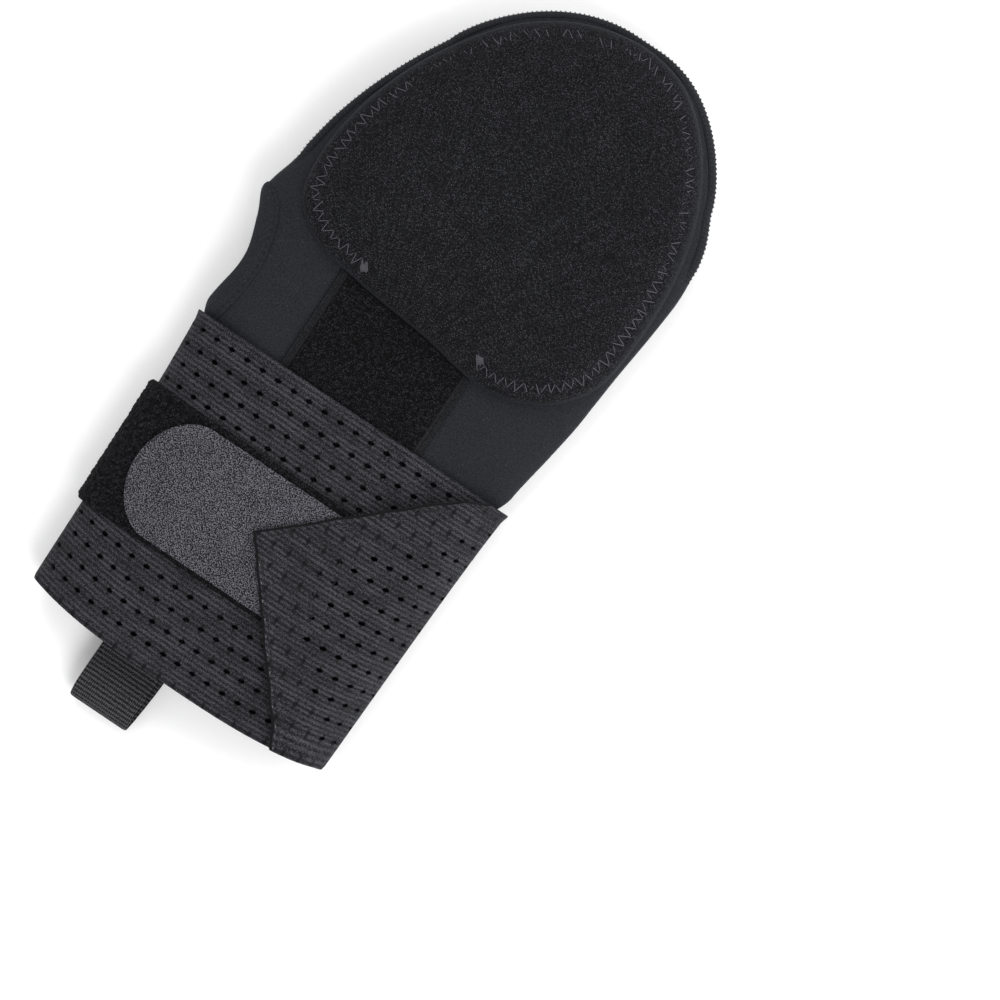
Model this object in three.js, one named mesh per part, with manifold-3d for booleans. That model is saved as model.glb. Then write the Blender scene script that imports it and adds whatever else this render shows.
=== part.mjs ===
import * as THREE from 'three';
import { mergeVertices } from 'three/addons/utils/BufferGeometryUtils.js';
import Module from 'manifold-3d';

// A sliding mitt that lies flat: a hollow neoprene body with a foam pad on each
// side, a thumb hole, and an elastic strap that is wound almost twice round the wrist.
// All lengths are in millimetres. +X is the little finger's side, +Y points to the
// fingertips and +Z is up. Until the last lines Y = 0 is the wrist mouth.

// Fit between pieces
const gap = 0.3;

// Body
const bodyLength = 291.5;
const bodyWidth = 150;
const bodyWall = 3;
const foldedEdge = 4;
const hollowHeight = 14;
const roundedTip = 38.5;
const tipSwell = 50;
const tipFlat = 6;
const tipEdge = 2.2;
const tipWall = 11;
const tipRounding = 1.25;
const tipLean = 4.2;
const handRise = 64;

// Wrist strap
const strapWidth = 120.8;
const strapBow = 4.5;
const strapBelowMouth = 1.8;
const strapThickness = 1.3;
const strapSqueeze = 2.4;
const squeezeInside = 4;
const squeezeOutside = 6;
const pointX = -7;
const pointBelowTop = 56;
const upperShoulderX = 55.5;
const lowerShoulderX = 42;

// Layers under and on the strap
const underlayThickness = 1.5;
const patchThickness = 1.5;
const patchWidth = 51.4;
const patchBelowTop = 31;
const patchRight = 36;
const patchUnderside = 15;
const tabThickness = 1.5;
const tabWidth = 46.8;
const tabBelowTop = 57.2;
const tabLeft = -56.2;
const tabRound = 17.5;
const tabRoot = 28;

// Pads
const padAboveStrap = 33.8;
const padSideInset = 7;
const padCentreX = 4.3;
const padTipInset = 1.7;
const padThickness = 9.5;
const padBorder = 1.8;
const padShoulder = 20;
const padFlattening = 0.8;

// Strips on the body
const stripLeft = -33.5;
const stripRight = 28;
const panelLeft = -35.8;
const panelRight = 22;
const panelAboveMouth = 16;
const stripAboveMouth = 12;

// Thumb hole
const holeLength = 48;
const holeHeight = 11;
const holeAboveStrap = 26;
const holeSquareness = 8;
const holeEase = 0.75;
const holeEaseStart = 0.3;
const hemThickness = 0.9;
const hemReach = 29.3;
const hemWidth = 9;

// Cuff edge
const cuffBand = 6;
const cuffThickness = 0.7;
const cuffPress = 1;

// Rim seam
const seamStandout = 1.2;
const seamCover = 1.2;
const seamHeight = 0.8;
const seamStart = 184;
const seamEnd = 224;

// Pull loop
const webbingWidth = 25;
const webbingThickness = 1.1;
const webbingLeft = -32;
const loopLength = 25.2;
const loopBelly = 1.4;
const loopGrip = 14;

// Mesh fineness
const ringSteps = 36;
const hollowSteps = 24;
const padSteps = 52;
const turn = 2 * Math.PI;
const ringStep = turn / ringSteps;

// Outline of the body from the wrist mouth to where the tip's round begins:
// along is the share of that length, thumb and pinky are shares of half the width.
const outline = [
  { along: 0, thumb: 0.879, pinky: 0.785 },
  { along: 0.348, thumb: 0.896, pinky: 0.832 },
  { along: 0.494, thumb: 0.923, pinky: 0.873 },
  { along: 0.573, thumb: 0.911, pinky: 0.908 },
  { along: 0.632, thumb: 0.957, pinky: 0.932 },
  { along: 0.672, thumb: 0.998, pinky: 0.943 },
  { along: 0.731, thumb: 0.951, pinky: 0.96 },
  { along: 0.814, thumb: 0.9, pinky: 0.989 },
  { along: 0.881, thumb: 0.831, pinky: 1.0 },
  { along: 0.949, thumb: 0.732, pinky: 0.963 },
  { along: 1, thumb: 0.639, pinky: 0.888 },
];

// Outline of a pad, once round: across is the share of half the pad's width from its
// middle, along the share of its length from its lower edge.
const padOutline = [
  { across: 0.46, along: 0 },
  { across: -0.01, along: 0.027 },
  { across: -0.47, along: 0.051 },
  { across: -0.78, along: 0.085 },
  { across: -0.953, along: 0.155 },
  { across: -1.005, along: 0.28 },
  { across: -0.968, along: 0.45 },
  { across: -0.86, along: 0.61 },
  { across: -0.705, along: 0.745 },
  { across: -0.49, along: 0.872 },
  { across: -0.205, along: 0.962 },
  { across: 0.135, along: 1 },
  { across: 0.44, along: 0.965 },
  { across: 0.71, along: 0.845 },
  { across: 0.885, along: 0.69 },
  { across: 0.97, along: 0.515 },
  { across: 0.985, along: 0.33 },
  { across: 0.94, along: 0.17 },
  { across: 0.77, along: 0.06 },
];

const { smoothstep, lerp, clamp } = THREE.MathUtils;

// Places that follow from the sizes above
const roundStart = bodyLength - roundedTip;
const strapTop = strapWidth - strapBelowMouth;
const holeAboveMouth = strapTop + holeAboveStrap;
const padLow = strapTop + padAboveStrap;
const padLength = bodyLength - padTipInset - padLow;
const padWidth = bodyWidth - 2 * padSideInset;
const bodyHalf = hollowHeight / 2 + bodyWall;
const underStrap = gap + underlayThickness + gap;
const overStrap = underStrap + strapThickness + gap;
const overPatch = overStrap + patchThickness + gap;
const overTab = overPatch + tabThickness + gap;
const handMiddle = bodyHalf + gap + padThickness - padFlattening;
const wristMiddle = bodyHalf + underStrap + strapThickness;

// Where the strap climbs onto the layers under it: the start and end are degrees round
// the wrist, and it goes from one offset off the body to another.
const strapClimbs = [
  { start: -45, end: -15, from: gap, to: underStrap },
  { start: 305, end: 345, from: underStrap, to: overStrap },
  { start: 375, end: 410, from: overStrap, to: overTab },
];

// A smooth value at a place along a table's rows
function tableValue(rows, key, along) {
  const place = clamp(along, 0, 1);
  let row = 0;
  while (row < rows.length - 2 && rows[row + 1].along < place) row += 1;
  const before = rows[Math.max(row - 1, 0)];
  const low = rows[row];
  const high = rows[row + 1];
  const after = rows[Math.min(row + 2, rows.length - 1)];
  const span = high.along - low.along;
  const share = (place - low.along) / span;
  const lowSlope = span * (high[key] - before[key]) / (high.along - before.along);
  const highSlope = span * (after[key] - low[key]) / (after.along - low.along);
  const square = share * share;
  const cube = square * share;
  return low[key] * (2 * cube - 3 * square + 1) + lowSlope * (cube - 2 * square + share)
    + high[key] * (3 * square - 2 * cube) + highSlope * (cube - square);
}

// The body's flattened section at a height above the wrist mouth
function sectionAt(y) {
  const squeezed = 1 - smoothstep(y, strapTop - squeezeInside, strapTop + squeezeOutside);
  const squeeze = strapSqueeze * squeezed;
  let thumbX = -bodyWidth / 2 * tableValue(outline, 'thumb', y / roundStart) + squeeze;
  let pinkyX = bodyWidth / 2 * tableValue(outline, 'pinky', y / roundStart) - squeeze;
  const rounded = clamp((y - roundStart) / roundedTip, 0, 1);
  const narrowing = Math.sqrt(1 - rounded ** tipRounding);
  const tipX = (thumbX + pinkyX) / 2 + tipLean;
  thumbX = lerp(tipX - tipFlat, thumbX, narrowing);
  pinkyX = lerp(tipX + tipFlat, pinkyX, narrowing);
  const fromTip = clamp((bodyLength - y) / tipSwell, 0, 1);
  const swell = Math.sqrt(1 - (1 - fromTip) ** 2);
  const fromHole = clamp(Math.abs(y - holeAboveMouth) / (holeEase * holeLength), 0, 1);
  return {
    centre: (thumbX + pinkyX) / 2,
    halfWidth: (pinkyX - thumbX) / 2,
    middle: lerp(wristMiddle, handMiddle, smoothstep(y, strapTop, strapTop + handRise)),
    halfHeight: lerp(tipEdge, bodyHalf, swell),
    thumbPower: 4 + holeSquareness * (1 - smoothstep(fromHole, holeEaseStart, 1)),
  };
}

// The section of the hollow inside the body
function hollowAt(y) {
  const outer = sectionAt(y * bodyLength / (bodyLength - tipWall / 2));
  return {
    ...outer,
    middle: sectionAt(y).middle,
    halfWidth: outer.halfWidth - foldedEdge,
    halfHeight: outer.halfHeight - bodyWall,
  };
}

// A point on a section, or off it by an offset. The angle is 0 at the little finger's
// edge, a quarter turn on top and half a turn at the thumb's edge.
function pointOn(section, y, angle, offset) {
  const power = Math.cos(angle) < 0 ? section.thumbPower : 4;
  const across = Math.sign(Math.cos(angle)) * Math.abs(Math.cos(angle)) ** (2 / power);
  const up = Math.sin(angle);
  const slopeX = power * Math.sign(across) * Math.abs(across) ** (power - 1) / section.halfWidth;
  const slopeZ = 2 * up / section.halfHeight;
  const size = Math.hypot(slopeX, slopeZ);
  return new THREE.Vector3(
    section.centre + across * section.halfWidth + offset * slopeX / size,
    y,
    section.middle + up * section.halfHeight + offset * slopeZ / size,
  );
}

// The angle at which the section's upper half has a given X
function angleAt(y, x) {
  const section = sectionAt(y);
  const across = clamp((x - section.centre) / section.halfWidth, -1, 1);
  const power = across < 0 ? section.thumbPower : 4;
  return Math.acos(Math.sign(across) * Math.abs(across) ** (power / 2));
}

// Half the body's thickness over a point of its outline's inside
function halfThickness(x, y) {
  const section = sectionAt(y);
  return section.halfHeight * Math.sin(angleAt(y, x));
}

// A closed geometry from points and triangles, all turned over if they face inwards
function geometryOf(points, triangles) {
  let volume = 0;
  for (let corner = 0; corner < triangles.length; corner += 3) {
    const [a, b, c] = triangles.slice(corner, corner + 3).map((index) => points[index]);
    volume += a.dot(b.clone().cross(c));
  }
  const geometry = new THREE.BufferGeometry();
  const positions = points.flatMap((point) => [point.x, point.y, point.z]);
  geometry.setAttribute('position', new THREE.Float32BufferAttribute(positions, 3));
  geometry.setIndex(volume > 0 ? triangles : triangles.reverse());
  return geometry;
}

// Two triangles for a cell of a grid
function cell(a, b, c, d) {
  return [a, b, c, a, c, d];
}

// A closed solid from a loft of rings, each a closed list of points, with flat ends
function loftRings(rings) {
  const count = rings[0].length;
  const points = rings.flat();
  const triangles = [];
  for (let row = 0; row + 1 < rings.length; row += 1) {
    for (let step = 0; step < count; step += 1) {
      const next = (step + 1) % count;
      const low = row * count;
      const high = low + count;
      triangles.push(...cell(low + step, high + step, high + next, low + next));
    }
  }
  const middleOf = (ring) => ring.reduce((sum, point) => sum.add(point), new THREE.Vector3())
    .divideScalar(ring.length);
  const last = (rings.length - 1) * count;
  points.push(middleOf(rings[0]), middleOf(rings[rings.length - 1]));
  for (let step = 0; step < count; step += 1) {
    const next = (step + 1) % count;
    triangles.push(step, next, points.length - 2);
    triangles.push(last + next, last + step, points.length - 1);
  }
  return geometryOf(points, triangles);
}

// A closed ring from sections that follow each other round a loop
function closedLoop(sections) {
  const count = sections[0].length;
  const points = sections.flat();
  const triangles = [];
  for (let row = 0; row < sections.length; row += 1) {
    const nextRow = (row + 1) % sections.length;
    for (let step = 0; step < count; step += 1) {
      const next = (step + 1) % count;
      triangles.push(...cell(row * count + step, row * count + next,
        nextRow * count + next, nextRow * count + step));
    }
  }
  return geometryOf(points, triangles);
}

// A closed sheet with a thickness: a grid of inner points and one of outer points
function sheetSolid(inner, outer) {
  const rows = inner.length;
  const columns = inner[0].length;
  const points = [...inner.flat(), ...outer.flat()];
  const face = rows * columns;
  const triangles = [];
  for (let row = 0; row + 1 < rows; row += 1) {
    for (let column = 0; column + 1 < columns; column += 1) {
      const low = row * columns + column;
      const high = low + columns;
      triangles.push(...cell(low, low + 1, high + 1, high));
      triangles.push(...cell(face + low, face + high, face + high + 1, face + low + 1));
    }
  }
  const wall = (from, to) => triangles.push(...cell(from, face + from, face + to, to));
  for (let column = 0; column + 1 < columns; column += 1) {
    wall(column, column + 1);
    wall((rows - 1) * columns + column + 1, (rows - 1) * columns + column);
  }
  for (let row = 0; row + 1 < rows; row += 1) {
    wall((row + 1) * columns, row * columns);
    wall(row * columns + columns - 1, (row + 1) * columns + columns - 1);
  }
  return geometryOf(points, triangles);
}

// Heights of the body's rows above the wrist mouth, closer together at the strap's
// edge, the thumb hole and the tip
function bodyRows() {
  const stretches = [
    { to: cuffBand, steps: 1 },
    { to: cuffBand + 2, steps: 1 },
    { to: strapTop - 14, steps: 4 },
    { to: holeAboveMouth + 0.65 * holeLength, steps: 10 },
    { to: roundStart, steps: 8 },
  ];
  const rows = [0];
  for (const stretch of stretches) {
    const from = rows[rows.length - 1];
    for (let step = 1; step <= stretch.steps; step += 1) {
      rows.push(lerp(from, stretch.to, step / stretch.steps));
    }
  }
  const tipShares = [0.2, 0.39, 0.57, 0.72, 0.84, 0.92, 0.975, 1];
  return [...rows, ...tipShares.map((share) => roundStart + share * roundedTip)];
}

// A ring of points round a section
function ringAt(section, y, offset, steps) {
  return Array.from({ length: steps }, (_, step) => (
    pointOn(section, y, step * turn / steps, offset)));
}

// How far the cuff's stitching presses the wall in
function pressAt(y) {
  return y <= cuffBand + 0.01 ? cuffPress : 0;
}

// The body's outer form, grown by an offset, with the cuff's band pressed in or not
function outerForm(offset, pressed = false) {
  return loftRings(bodyRows().map((y) => (
    ringAt(sectionAt(y), y, offset - (pressed ? pressAt(y) : 0), ringSteps))));
}

// The hollow's form, grown by an offset, which starts outside the wrist mouth
function hollowForm(offset) {
  const rows = bodyRows().filter((y, index) => y < bodyLength - tipWall && index % 2 === 0);
  rows[0] = -2 * cuffBand;
  return loftRings(rows.map((y) => ringAt(hollowAt(Math.max(y, 0)), y, offset, hollowSteps)));
}

// Solids that can be cut and joined
const library = await Module();
library.setup();

function solidOf(geometry) {
  const bare = mergeVertices(geometry.clone().deleteAttribute('normal').deleteAttribute('uv'));
  return new library.Manifold(new library.Mesh({
    numProp: 3,
    vertProperties: bare.attributes.position.array,
    triVerts: new Uint32Array(bare.index.array),
  }));
}

function geometryFrom(solid) {
  const mesh = solid.getMesh();
  const geometry = new THREE.BufferGeometry();
  geometry.setAttribute('position', new THREE.BufferAttribute(mesh.vertProperties, 3));
  geometry.setIndex(new THREE.BufferAttribute(mesh.triVerts, 1));
  return geometry;
}

// An ellipse along X through the thumb's edge, grown by an amount, and how deep it
// goes in from that edge
function thumbHoleCutter(growth, reach) {
  const shape = new THREE.Shape();
  shape.absellipse(0, 0, holeLength / 2 + growth, holeHeight / 2 + growth, 0, turn);
  const outside = 4 * foldedEdge;
  const depth = outside + reach;
  const bar = new THREE.ExtrudeGeometry(shape, { depth, bevelEnabled: false, curveSegments: 20 });
  bar.applyMatrix4(new THREE.Matrix4().makeBasis(
    new THREE.Vector3(0, 1, 0), new THREE.Vector3(0, 0, 1), new THREE.Vector3(1, 0, 0)));
  const rise = sectionAt(holeAboveMouth + 5).middle - sectionAt(holeAboveMouth - 5).middle;
  bar.rotateX(Math.atan2(rise, 10));
  const section = sectionAt(holeAboveMouth);
  bar.translate(section.centre - section.halfWidth - outside, holeAboveMouth, section.middle);
  return solidOf(bar);
}

function makeBody() {
  const shell = solidOf(outerForm(0, true)).subtract(solidOf(hollowForm(0)));
  return geometryFrom(shell.subtract(thumbHoleCutter(gap + hemThickness, 4 * foldedEdge)));
}

// The hem lies on the body round the thumb hole and turns in through the hole
function makeThumbHem() {
  const section = sectionAt(holeAboveMouth);
  const disc = new THREE.CylinderGeometry(hemReach, hemReach, 4 * bodyHalf, 48);
  disc.rotateX(Math.PI / 2);
  const discX = section.centre - section.halfWidth + hemWidth - hemReach;
  disc.translate(discX, holeAboveMouth, section.middle);
  const outside = solidOf(outerForm(gap + hemThickness));
  const band = outside.intersect(solidOf(disc)).subtract(solidOf(outerForm(gap)));
  const lipReach = foldedEdge + hemThickness;
  const turnedIn = outside.subtract(solidOf(hollowForm(-gap - hemThickness)))
    .intersect(thumbHoleCutter(hemThickness, lipReach));
  return geometryFrom(band.add(turnedIn).subtract(thumbHoleCutter(0, 2 * lipReach)));
}

// A closed curve through the pad's outline
function padCurve() {
  const points = padOutline.map((row) => new THREE.Vector3(
    padCentreX + row.across * padWidth / 2, padLow + row.along * padLength, 0));
  return new THREE.CatmullRomCurve3(points, true, 'centripetal');
}

const padEdge = padCurve().getSpacedPoints(padSteps).slice(0, -1);

// The Y of the pad's lower edge, which the strips below it stop at
function padEdgeAt(x) {
  const crossings = padEdge.map((point, index) => {
    const next = padEdge[(index + 1) % padSteps];
    const share = (x - point.x) / (next.x - point.x);
    return share >= 0 && share <= 1 ? lerp(point.y, next.y, share) : bodyLength;
  });
  return Math.min(...crossings);
}

// A pad on one side of the body: 1 is the upper side and -1 the lower one
function makePad(side) {
  const around = padEdge;
  const centre = new THREE.Vector3(padCentreX, padLow + padLength / 2, 0);
  const ringShares = [1, 0.975, 0.93, 0.86, 0.76, 0.6, 0.32];
  const depthAt = (point) => Math.min(...around.map((edge) => edge.distanceTo(point)));
  const surface = (point) => {
    const swell = Math.sqrt(1 - (1 - clamp(depthAt(point) / padShoulder, 0, 1)) ** 2);
    const rise = halfThickness(point.x, point.y) + gap + lerp(padBorder, padThickness, swell);
    const z = Math.max(sectionAt(point.y).middle + side * rise, 0);
    return new THREE.Vector3(point.x, point.y, z);
  };
  const points = [];
  for (const edge of around) {
    points.push(new THREE.Vector3(edge.x, edge.y, sectionAt(edge.y).middle));
  }
  for (const share of ringShares) {
    points.push(...around.map((edge) => surface(centre.clone().lerp(edge, share))));
  }
  const count = around.length;
  const triangles = [];
  const inner = points.length;
  points.push(new THREE.Vector3(centre.x, centre.y, sectionAt(centre.y).middle), surface(centre));
  const lastRing = ringShares.length * count;
  for (let step = 0; step < count; step += 1) {
    const next = (step + 1) % count;
    for (let ring = 0; ring < ringShares.length; ring += 1) {
      const low = ring * count;
      triangles.push(...cell(low + step, low + next, low + count + next, low + count + step));
    }
    triangles.push(inner, next, step);
    triangles.push(inner + 1, lastRing + step, lastRing + next);
  }
  const rough = solidOf(geometryOf(points, triangles));
  return geometryFrom(rough.subtract(solidOf(outerForm(gap))));
}

// A flat strip on the body from above the wrist mouth to the pad's lower edge
function makeStrip(left, right, aboveMouth, side) {
  const columns = 4;
  const rows = 14;
  const grid = (offset) => Array.from({ length: rows + 1 }, (_, row) => (
    Array.from({ length: columns + 1 }, (__, column) => {
      const x = lerp(left, right, column / columns);
      const y = lerp(aboveMouth, padEdgeAt(x) - 2 * gap, row / rows);
      return pointOn(sectionAt(y), y, side * angleAt(y, x), offset);
    })));
  return sheetSolid(grid(gap), grid(gap + underlayThickness));
}

// Y of a place across the strap, 0 at its top edge and 1 at its bottom edge
function strapY(share, angle) {
  const towardsSide = Math.abs(Math.cos(angle)) ** 1.5;
  return strapTop - share * (strapWidth - strapBow * towardsSide);
}

// How far the strap's inner face lies off the body as it winds round
function strapOffset(angle) {
  const degrees = THREE.MathUtils.radToDeg(angle);
  return strapClimbs.reduce((offset, climb) => (
    offset + (climb.to - climb.from) * smoothstep(degrees, climb.start, climb.end)), gap);
}

// The strap: sewn on at the edge of the underside's panel, wound over the top, round
// the thumb's edge, under the mitt and up again, where it ends in a point.
function makeStrap() {
  const pointShare = pointBelowTop / strapWidth;
  const shares = [0, 0.16, 0.32, pointShare, 0.64, 0.82, 1];
  const startAt = (share) => -angleAt(strapTop - share * strapWidth, panelRight + 2 * gap);
  const firstFull = Math.max(...shares.map((share) => Math.ceil(startAt(share) / ringStep + 0.2)));
  const lastFull = ringSteps + Math.round(angleAt(strapTop, upperShoulderX) / ringStep - 0.5);
  const pointSteps = 9;
  const rows = shares.map((share) => {
    const flatY = strapTop - share * strapWidth;
    const shoulder = share < pointShare ? upperShoulderX : lowerShoulderX;
    const edge = share < pointShare ? 0 : 1;
    const away = (share - pointShare) / (edge - pointShare);
    const end = turn + angleAt(flatY, lerp(pointX, shoulder, away));
    const angles = [startAt(share)];
    for (let step = firstFull; step <= lastFull; step += 1) {
      angles.push(step * ringStep);
    }
    for (let step = 1; step <= pointSteps; step += 1) {
      angles.push(lerp(lastFull * ringStep, end, step / pointSteps));
    }
    const points = (offset) => angles.map((angle) => {
      const y = strapY(share, angle);
      return pointOn(sectionAt(y), y, angle, strapOffset(angle) + offset);
    });
    return { inner: points(0), outer: points(strapThickness) };
  });
  return sheetSolid(rows.map((row) => row.inner), rows.map((row) => row.outer));
}

// The loop patch on the strap, from under its point round the thumb's edge
function makePatch() {
  const rows = 3;
  const heights = Array.from({ length: rows + 1 }, (_, row) => (
    strapTop - patchBelowTop - patchWidth * row / rows));
  const startAt = (y) => angleAt(y, patchRight);
  const endAt = (y) => {
    const section = sectionAt(y);
    return turn - angleAt(y, section.centre - section.halfWidth + patchUnderside);
  };
  const firstFull = Math.max(...heights.map((y) => Math.ceil(startAt(y) / ringStep + 0.1)));
  const lastFull = Math.min(...heights.map((y) => Math.floor(endAt(y) / ringStep - 0.1)));
  const grid = (offset) => heights.map((y) => {
    const angles = [startAt(y)];
    for (let step = firstFull; step <= lastFull; step += 1) {
      angles.push(step * ringStep);
    }
    angles.push(endAt(y));
    return angles.map((angle) => pointOn(sectionAt(y), y, angle, offset));
  });
  return sheetSolid(grid(overStrap), grid(overStrap + patchThickness));
}

// The hook tab on the patch, with a round end; its root is under the strap's point
function makeTab() {
  const bodySteps = 5;
  const acrossSteps = 8;
  const grid = (offset) => Array.from({ length: acrossSteps + 1 }, (_, row) => {
    const across = Math.sin(Math.PI * (row / acrossSteps - 0.5));
    const y = strapTop - tabBelowTop - across * tabWidth / 2;
    const section = sectionAt(y);
    const endX = tabLeft + tabRound * (1 - Math.sqrt(1 - across * across));
    const root = angleAt(y, tabRoot);
    const straight = angleAt(y, tabLeft + tabRound + 2 * gap);
    const angles = [];
    for (let step = 0; step <= bodySteps; step += 1) {
      angles.push(lerp(root, straight, step / bodySteps));
    }
    for (const share of [0.5, 1]) {
      angles.push(lerp(straight, angleAt(y, endX), share));
    }
    return angles.map((angle) => pointOn(section, y, angle, offset));
  });
  return sheetSolid(grid(overPatch), grid(overPatch + tabThickness));
}

// The stitched edge round the wrist mouth holds the wall from both sides
function makeCuffBinding() {
  const outerFace = -cuffPress + gap;
  const around = Array.from({ length: ringSteps }, (_, step) => {
    const angle = step * ringStep;
    const outside = (y, offset) => pointOn(sectionAt(0), y, angle, offset);
    const inside = (y, offset) => pointOn(hollowAt(0), y, angle, -offset);
    const top = cuffBand - gap;
    const bottom = -gap - cuffThickness;
    return [
      outside(top, outerFace),
      outside(top, outerFace + cuffThickness),
      outside(bottom, outerFace + cuffThickness / 2),
      inside(bottom, gap + cuffThickness / 2),
      inside(top, gap + cuffThickness),
      inside(top, gap),
      inside(-gap, gap),
      outside(-gap, outerFace),
    ];
  });
  return closedLoop(around);
}

// The rim of the body in plan, from the thumb's bump round the tip
function rimPath() {
  const rows = bodyRows();
  const left = rows.filter((y) => y > seamStart).map((y) => {
    const section = sectionAt(y);
    return new THREE.Vector2(section.centre - section.halfWidth, y);
  });
  const right = rows.filter((y) => y > seamEnd).reverse().map((y) => {
    const section = sectionAt(y);
    return new THREE.Vector2(section.centre + section.halfWidth, y);
  });
  return [...left, ...right];
}

// The overlocked seam: a C-shaped rib that holds the rim
function makeEdgeSeam() {
  const path = rimPath();
  const sections = path.map((place, index) => {
    const before = path[Math.max(index - 1, 0)];
    const after = path[Math.min(index + 1, path.length - 1)];
    const along = after.clone().sub(before).normalize();
    const out = new THREE.Vector2(-along.y, along.x);
    const at = (outset, height) => {
      const flat = place.clone().addScaledVector(out, outset);
      return new THREE.Vector3(flat.x, flat.y, sectionAt(place.y).middle + height);
    };
    const heightAt = (inset) => {
      const flat = place.clone().addScaledVector(out, -inset);
      return halfThickness(flat.x, flat.y);
    };
    const flange = heightAt(seamCover) + 1.5 * gap;
    const shoulder = heightAt(gap) + gap;
    const upper = [
      at(-seamCover, flange),
      at(-seamCover, flange + seamHeight),
      at(2 * gap, shoulder + seamHeight),
      at(gap + seamStandout, seamHeight),
    ];
    const lower = [
      at(gap + seamStandout, -seamHeight),
      at(2 * gap, -shoulder - seamHeight),
      at(-seamCover, -flange - seamHeight),
      at(-seamCover, -flange),
    ];
    return [...upper, ...lower, at(gap, -shoulder), at(gap, shoulder)];
  });
  return loftRings(sections);
}

// A webbing loop that grips the cuff's lower wall and stands out below the strap
function makePullLoop() {
  const section = sectionAt(0);
  const underside = section.middle - section.halfHeight;
  const half = webbingThickness / 2;
  const lowZ = underside - gap - half;
  const inside = hollowAt(0);
  const highZ = inside.middle - inside.halfHeight * 0.96 + 2 * gap + cuffThickness + half;
  const endY = -strapBelowMouth - loopLength;
  const route = [
    [panelAboveMouth - gap, lowZ],
    [-strapBelowMouth, lowZ],
    [lerp(-strapBelowMouth, endY, 0.5), lowZ - loopBelly / 2],
    [lerp(-strapBelowMouth, endY, 0.82), lowZ - loopBelly / 3],
    [endY + half, (lowZ + highZ) / 2],
    [lerp(-strapBelowMouth, endY, 0.82), highZ + loopBelly / 2],
    [lerp(-strapBelowMouth, endY, 0.5), highZ + loopBelly],
    [-strapBelowMouth - 2, highZ],
    [loopGrip, highZ],
  ];
  const curve = new THREE.CatmullRomCurve3(
    route.map(([y, z]) => new THREE.Vector3(y, z, 0)), false, 'centripetal');
  const steps = 40;
  const sideLine = (offset) => Array.from({ length: steps + 1 }, (_, step) => {
    const point = curve.getPointAt(step / steps);
    const along = curve.getTangentAt(step / steps);
    return new THREE.Vector2(point.x - offset * along.y, point.y + offset * along.x);
  });
  const shape = new THREE.Shape([...sideLine(half), ...sideLine(-half).reverse()]);
  const loop = new THREE.ExtrudeGeometry(shape, { depth: webbingWidth, bevelEnabled: false });
  loop.applyMatrix4(new THREE.Matrix4().makeBasis(
    new THREE.Vector3(0, 1, 0), new THREE.Vector3(0, 0, 1), new THREE.Vector3(1, 0, 0)));
  loop.translate(webbingLeft, 0, 0);
  return loop;
}

// Colours and surfaces of the materials
const cloth = (color, roughness) => new THREE.MeshStandardMaterial({ color, roughness, metalness: 0 });
const neoprene = cloth(0x3c4147, 0.85);
const padKnit = cloth(0x1e1f22, 0.95);
const thread = cloth(0x33363b, 0.8);
const pile = cloth(0x17181a, 1);
const elastic = cloth(0x2d2f33, 0.9);
const hookKnit = cloth(0x46494e, 0.85);
const binding = cloth(0x2a2c30, 0.9);
const webbing = cloth(0x222427, 0.85);

const mitt = new THREE.Group();

function addPiece(name, geometry, material) {
  const mesh = new THREE.Mesh(geometry, material);
  mesh.name = name;
  geometry.computeBoundingBox();
  mitt.add(mesh);
}

addPiece('mitt_body', makeBody(), neoprene);
addPiece('edge_seam', makeEdgeSeam(), thread);
addPiece('upper_pad', makePad(1), padKnit);
addPiece('lower_pad', makePad(-1), padKnit);
addPiece('upper_strip', makeStrip(stripLeft, stripRight, stripAboveMouth, 1), pile);
addPiece('anchor_panel', makeStrip(panelLeft, panelRight, panelAboveMouth, -1), binding);
addPiece('thumb_hem', makeThumbHem(), binding);
addPiece('cuff_binding', makeCuffBinding(), thread);
addPiece('wrap_strap', makeStrap(), elastic);
addPiece('loop_patch', makePatch(), pile);
addPiece('hook_tab', makeTab(), hookKnit);
addPiece('pull_loop', makePullLoop(), webbing);

// The origin is the middle of the whole mitt, on the surface that it lies on
const box = new THREE.Box3();
mitt.children.forEach((mesh) => box.union(mesh.geometry.boundingBox));
const middle = box.getCenter(new THREE.Vector3());
mitt.position.set(-middle.x, -middle.y, -box.min.z);

export default mitt;
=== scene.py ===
import math
from types import SimpleNamespace

import bmesh
import bpy
import numpy as np
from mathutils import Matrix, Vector


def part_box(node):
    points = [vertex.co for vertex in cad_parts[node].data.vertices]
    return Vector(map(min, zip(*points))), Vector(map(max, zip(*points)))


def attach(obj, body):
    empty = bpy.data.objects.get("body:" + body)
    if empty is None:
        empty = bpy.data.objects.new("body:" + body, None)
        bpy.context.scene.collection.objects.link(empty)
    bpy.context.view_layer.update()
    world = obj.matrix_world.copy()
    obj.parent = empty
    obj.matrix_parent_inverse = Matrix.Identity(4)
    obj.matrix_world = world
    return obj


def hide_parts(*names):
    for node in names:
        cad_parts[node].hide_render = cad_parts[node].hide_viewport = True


# A sliding mitt that lies flat, as in the photo's main view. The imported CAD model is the
# frame, and every soft solid in it is replaced here by a detailed piece.
# All lengths are in millimetres until a mesh is made. Until then Y = 0 is the wrist mouth,
# +X is the little finger's side, +Y points to the fingertips and +Z is up.

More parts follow.
